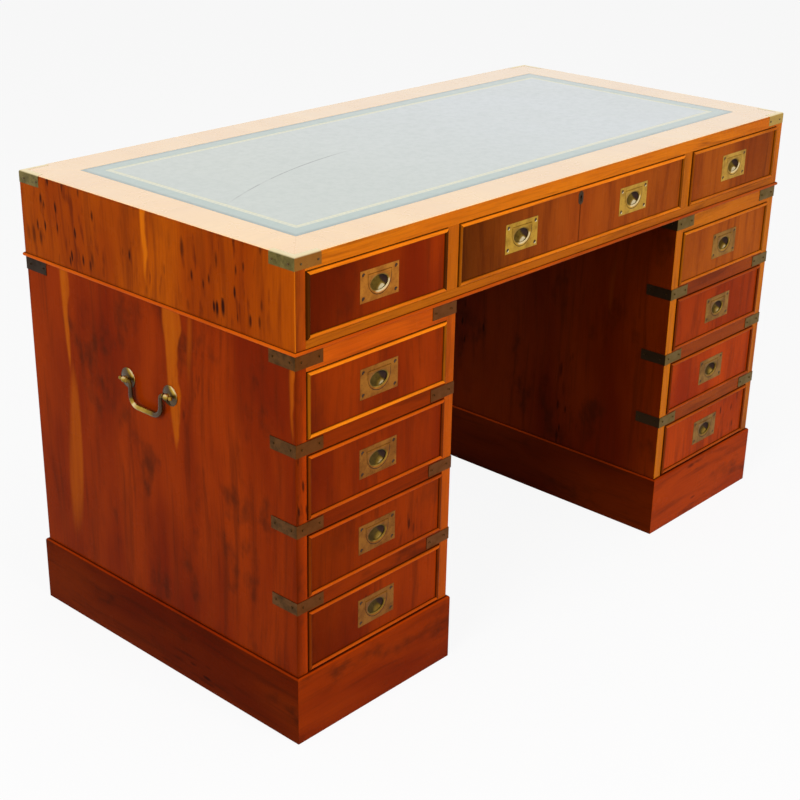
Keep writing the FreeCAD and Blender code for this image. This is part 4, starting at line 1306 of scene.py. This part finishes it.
def countersink_highlight(place, level):
    """A dark rim with a painted highlight on its lower right."""
    def rule(point):
        lean = (0.6 * (point[0] - place.x) - 0.8 * (point[2] - place.z)) / countersink_radius
        return 0.12 + level * ease_between(lean, 0.35, 0.8)
    return rule


def hole_highlight(outline, level):
    """The edge of a tongue's hole, with a painted highlight along its bottom."""
    def rule(point):
        lean = 0.45 * (point[0] - outline.centre_x) - 0.89 * (point[2] - outline.centre_z)
        return level * (0.8 + 0.6 * ease_between(lean / (window_width / 2 - tongue_band), 0.4, 0.85))
    return rule


def make_plate(drawer):
    """The pull plate with countersunk screws, the window, and the bowl behind it."""
    shape = Shape(plate_brass(drawer))
    level = plate_tone(drawer)
    countersink_highlight_level = centre_countersink_highlight if drawer.startswith("centre") else level
    for centre in pull_centres(drawer):
        outline = PullOutline(drawer, centre.x)
        front = centre.y
        eased = front + plate_ease
        back = front + plate_thickness
        rim = [outline.plate(0, back), outline.plate(0, eased), outline.plate(-plate_ease, front)]
        # The plate's edge: painted shade on its sides and a painted highlight on its front edge
        shape.loft(rim, "open", smooth=False, tone=[0.1, 0.25, 1.15 * level])
        jamb = [outline.window(plate_ease, front), outline.window(0, eased), outline.window(0, back)]
        shape.loft(jamb, "open", tone=gap_shade(outline, level))
        bowl = jamb[-1:] + outline.bowl(back, 0.0, 12)
        shape.loft(bowl, "shut", paint=bowl_brass, tone=bowl_light_and_shade(outline, level))
        shape.loft(rim[:1] + outline.bowl(back, bowl_wall, 8), "shut")
        edges = [rim[-1], jamb[0]]
        for place in screw_centres(centre):
            wide = disc_ring(place, countersink_radius, front)
            narrow = disc_ring(place, screw_radius, front + countersink_depth)
            foot = disc_ring(place, screw_radius, back - countersink_foot)
            shape.loft([wide, narrow, foot], "shut", smooth=False, tone=countersink_highlight(place, countersink_highlight_level))
            edges.append(wide)
            add_screw(shape, place, draw.uniform(0, math.pi))
        shape.fill_face(edges, level)
    shape.dress(drawer + "_pull_plate", drawer)


def make_tongue(drawer, node, centre):
    """The half-moon tongue: bevelled finger hole, hinge barrel and pins."""
    outline = PullOutline(drawer, centre.x)
    brass = plate_brass(drawer)
    shape = Shape(brass)
    front = centre.y
    back = front + tongue_thickness
    rings = [outline.flap(0, front + tongue_ease), outline.flap(-tongue_ease, front)]
    rings += [outline.hole(share * hole_bevel, front + depth) for share, depth in hole_steps]
    rings += [outline.hole(0, back), outline.flap(0, back)]
    level = plate_tone(drawer)
    hole_lit = hole_highlight(outline, level)
    # The tongue's outer edge and back are in painted shade, and its hole's edge has a painted highlight
    tones = [0.5 * level, 0.95 * level, hole_lit, hole_lit, hole_lit, level, 0.4, 0.2]
    paint = [brass] * 2 + [bowl_brass] * 4 + [brass] * 2
    shape.loft(rings, "joined", tone=tones, paint=paint)
    low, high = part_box(node)
    radius = plate_thickness / 2
    length = high.x - low.x
    pin_end = hinge_pin_length
    profile = [(0, hinge_pin_radius), (pin_end, hinge_pin_radius), (pin_end, radius)]
    profile += [(length - distance, thickness) for distance, thickness in reversed(profile)]
    shape.lathe(profile, (low.x, front + radius, high.z - radius), x_axis, 20, tone=level)
    shape.dress(node, node)


# Carrying handles

def ball_profile(middle, radius, start, step):
    """A ball on the axis of a turned form, from an angle in degrees to its tip."""
    turns = [math.radians(angle) for angle in range(start, 90, step)]
    profile = [(middle + radius * math.sin(turn), radius * math.cos(turn)) for turn in turns]
    return profile + [(middle + radius, point_radius)]


def handle_middle():
    """The place between the handles' posts."""
    low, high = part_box("carry_handle_posts")
    return (low + high) / 2


def post_light_and_shade(face, middle, height):
    """Painted reflection, dark over most of a rosette, and a painted highlight at its upper front and on the
    top of the eye.
    """
    def rule(point):
        up = point[2] - height
        if abs(point[0] - face) > 0.55 * post_standoff:
            return 0.45 + 0.8 * ease_between(up / eye_radius, -0.3, 0.6)
        lean = (0.75 * up - 0.66 * (point[1] - middle)) / rosette_radius
        return 0.25 + 1.1 * ease_between(lean, 0.5, 0.9)
    return rule


def make_posts():
    """Domed rosettes, necks and ball eyes, turned on the posts' own axes."""
    shape = Shape(handle_brass)
    profile = [(distance * mm, share * rosette_radius) for distance, share in rosette_steps]
    profile += [post_neck] + ball_profile(post_standoff, eye_radius, -30, 10)
    middle = handle_middle()
    for side, direction in (("left", -1), ("right", 1)):
        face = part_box(side + "_pedestal_case")[0 if side == "left" else 1].x
        for y in (middle.y - post_spacing / 2, middle.y + post_spacing / 2):
            tone = post_light_and_shade(face, y, middle.z)
            shape.lathe(profile, (face, y, middle.z), (direction, 0, 0), tone=tone)
    shape.dress("carry_handle_posts", "desk_case")


def bail_route():
    """The bail's middle line from one eye to the other, as places across and up from its middle."""
    leg = post_spacing / 2 - bail_leg_inset
    right = arc_points((leg + bail_neck_radius, -bail_neck_radius), bail_neck_radius, 90, 180, 8)
    bow_centre = (leg - bail_bow_radius, bail_bow_radius - bail_drop)
    right += arc_points(bow_centre, bail_bow_radius, 0, -90, 14)
    left = [(-across, up) for across, up in reversed(right)]
    return [Vector((0, across, up)) for across, up in right + left]


def make_bail(side):
    """The hanging bow, swelling to its middle, with a pin through each eye and a ball on each end."""
    node = side + "_carry_bail"
    low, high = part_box(node)
    origin = (low + high) / 2
    origin.z = handle_middle().z
    shape = Shape(handle_brass)
    route = bail_route()
    lengths = [0.0]
    for first, second in zip(route, route[1:]):
        lengths.append(lengths[-1] + (second - first).length)
    rings = []
    tones = []
    for i, point in enumerate(route):
        ahead = route[min(i + 1, len(route) - 1)] - route[max(i - 1, 0)]
        inward = x_axis.cross(ahead.normalized())
        share = lengths[i] / lengths[-1]
        tones.append(along_points(share, bail_light_and_shade))
        swell = math.sin(math.pi * share) ** 1.6
        radius = bail_end_radius + (bail_middle_radius - bail_end_radius) * swell
        rings.append(circle(origin + point, radius, x_axis, inward, 20))
    shape.loft(rings, tone=tones)
    # The ends, turned along the pins, with distances from the end of the bow
    half = post_spacing / 2
    neck = half - bail_leg_inset + bail_neck_radius
    tip = half + eye_radius + bail_tip_gap + bail_tip_radius - neck
    collar = half - eye_radius - bail_collar_gap - neck
    profile = [(-bail_neck_overlap, bail_end_radius), (collar - bail_collar_length, bail_end_radius)]
    profile += [(collar - bail_collar_flat, bail_collar_radius), (collar, bail_collar_radius)]
    profile += [(collar, bail_pin_radius), (tip - bail_tip_radius, bail_pin_radius)]
    profile += ball_profile(tip, bail_tip_radius, -45, 9)
    for sign in (-1, 1):
        end = origin + Vector((0, sign * neck, 0))
        shape.lathe(profile, end, (0, sign, 0), 24, tone=bail_end_light[sign])
    shape.dress(node, node)


# Heads of the pins that hold the caps and straps

def pin_solids(node):
    """Boxes round the separate small solids of a node."""
    mesh = bmesh.new()
    piece = frame["nodes"][node]
    mesh.from_mesh(piece.data)
    bmesh.ops.remove_doubles(mesh, verts=mesh.verts, dist=1e-6)
    left = set(mesh.verts)
    boxes = []
    while left:
        group = [left.pop()]
        for vertex in group:
            for edge in vertex.link_edges:
                other = edge.other_vert(vertex)
                if other in left:
                    left.discard(other)
                    group.append(other)
        places = [piece.matrix_world @ vertex.co for vertex in group]
        low, high = [Vector([pick(place[i] for place in places) for i in range(3)]) for pick in (min, max)]
        if max(high - low) < pin_reach:
            boxes.append((low, high))
    mesh.free()
    boxes.sort(key=lambda box: tuple(box[0]))
    return boxes


def make_pin_heads(node, middle_x):
    """A low dark head on the outer end of each pin."""
    shape = Shape(handle_brass)
    profile = [(height * pin_head_height, share * pin_head_radius) for height, share in pin_head_steps]
    for low, high in pin_solids(node):
        centre = (low + high) / 2
        length = 0 if high.x - low.x > high.y - low.y else 1
        hub = math.copysign(middle_x, centre.x) if length == 0 else 0.0
        direction = math.copysign(1.0, centre[length] - hub)
        axis = Vector((0, 0, 0))
        axis[length] = direction
        centre[length] = high[length] if direction > 0 else low[length]
        shape.lathe(profile, centre, axis, 16, tone=pin_head_tone)
    shape.finish(node + ".pin_heads", "desk_case")


# Build every piece

def repaint(node, material):
    """A better finish on a solid that keeps its shape."""
    slots = frame["nodes"][node].data.materials
    slots.clear()
    slots.append(material)


make_top()
make_leather()
make_frieze()
for side in pedestal_sides:
    make_pedestal(side)
    make_plinth(side)
drawers = ["%s_drawer_%d" % (side, level) for side in pedestal_sides for level in pedestal_levels]
drawers += [side + "_frieze_drawer" for side in ("left", "centre", "right")]
for drawer in drawers:
    make_front(drawer)
    make_box(drawer)
    make_plate(drawer)
    for tongue, centre in zip(pull_names(drawer), pull_centres(drawer)):
        make_tongue(drawer, tongue, centre)
make_posts()
for side in pedestal_sides:
    make_bail(side)
pedestal_middle_x = sum(corner.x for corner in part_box("right_pedestal_case")) / 2
make_pin_heads("top_corner_caps", 0.0)
make_pin_heads("pedestal_straps", pedestal_middle_x)
repaint("drawer_runners", runner_timber)
repaint("top_corner_caps", cap_brass)
repaint("pedestal_straps", strap_brass)
repaint("lock_case", dark_brass)
repaint("lock_bolt", lock_brass)


# Floor, light and camera

white = (1.0, 1.0, 1.0, 1.0)
floor_paint = (0.8, 0.8, 0.8, 1.0)
floor_glow = 0.9
floor_half_size = 30.0
fill_light = 0.3


def make_floor():
    """A pale floor that reads as white round the object and still takes its shadow."""
    size = floor_half_size
    corners = [(-size, -size, 0), (size, -size, 0), (size, size, 0), (-size, size, 0)]
    data = bpy.data.meshes.new("floor")
    data.from_pydata(corners, [], [(0, 1, 2, 3)])
    floor = bpy.data.objects.new("floor", data)
    scene.collection.objects.link(floor)
    shader = Shader(bpy.data.materials.new("floor"))
    paint = shader.value("ShaderNodeBsdfDiffuse", 0, {"Color": floor_paint})
    glow = shader.value("ShaderNodeEmission", 0, {"Color": white, "Strength": 1.0})
    mixed = shader.value("ShaderNodeMixShader", 0, {0: shader.seen() * floor_glow, 1: paint, 2: glow})
    shader.node("ShaderNodeOutputMaterial", {"Surface": mixed})
    data.materials.append(shader.owner)


def make_world():
    """An even fill, which the camera and mirrors see as white."""
    scene.world = bpy.data.worlds.new("studio")
    shader = Shader(scene.world)
    levels = {"Value": shader.seen(), "To Min": fill_light, "To Max": 1.0}
    strength = shader.value("ShaderNodeMapRange", "Result", levels)
    background = shader.value("ShaderNodeBackground", 0, {"Color": white, "Strength": strength})
    shader.node("ShaderNodeOutputWorld", {"Surface": background})


def make_softbox(name, place, target, size, power):
    """A large soft square lamp that polished surfaces don't mirror."""
    lamp = bpy.data.lights.new(name, "AREA")
    lamp.shape = "RECTANGLE"
    lamp.size = size
    lamp.size_y = size
    lamp.energy = power
    softbox = bpy.data.objects.new(name, lamp)
    softbox.location = place
    softbox.visible_glossy = False
    softbox.rotation_euler = (Vector(target) - Vector(place)).to_track_quat("-Z", "Y").to_euler()
    scene.collection.objects.link(softbox)


def make_camera():
    """The camera as it stood for the photograph."""
    camera = bpy.data.cameras.new("camera")
    camera.sensor_width = sensor_width_mm
    camera.lens = camera_focal_pixels / picture_pixels * sensor_width_mm
    camera.clip_end = 100.0
    holder = bpy.data.objects.new("camera", camera)
    holder.location = camera_place
    aim = (Vector(camera_target) - Vector(camera_place)).to_track_quat("-Z", "Y")
    holder.rotation_euler = (aim @ Quaternion(z_axis, camera_roll)).to_euler()
    scene.collection.objects.link(holder)
    scene.camera = holder


make_floor()
make_world()
make_softbox("left_key", (-4.6, -0.9, 2.6), (-0.3, 0, 0.4), 2.4, 150.0)
make_softbox("front_key", (-0.3, -5.0, 2.6), (0, 0, 0.4), 2.4, 150.0)
make_softbox("top_fill", (0, 0, 4.2), (0, 0, 0.7), 3.0, 30.0)
make_camera()
scene.view_settings.view_transform = "Standard"
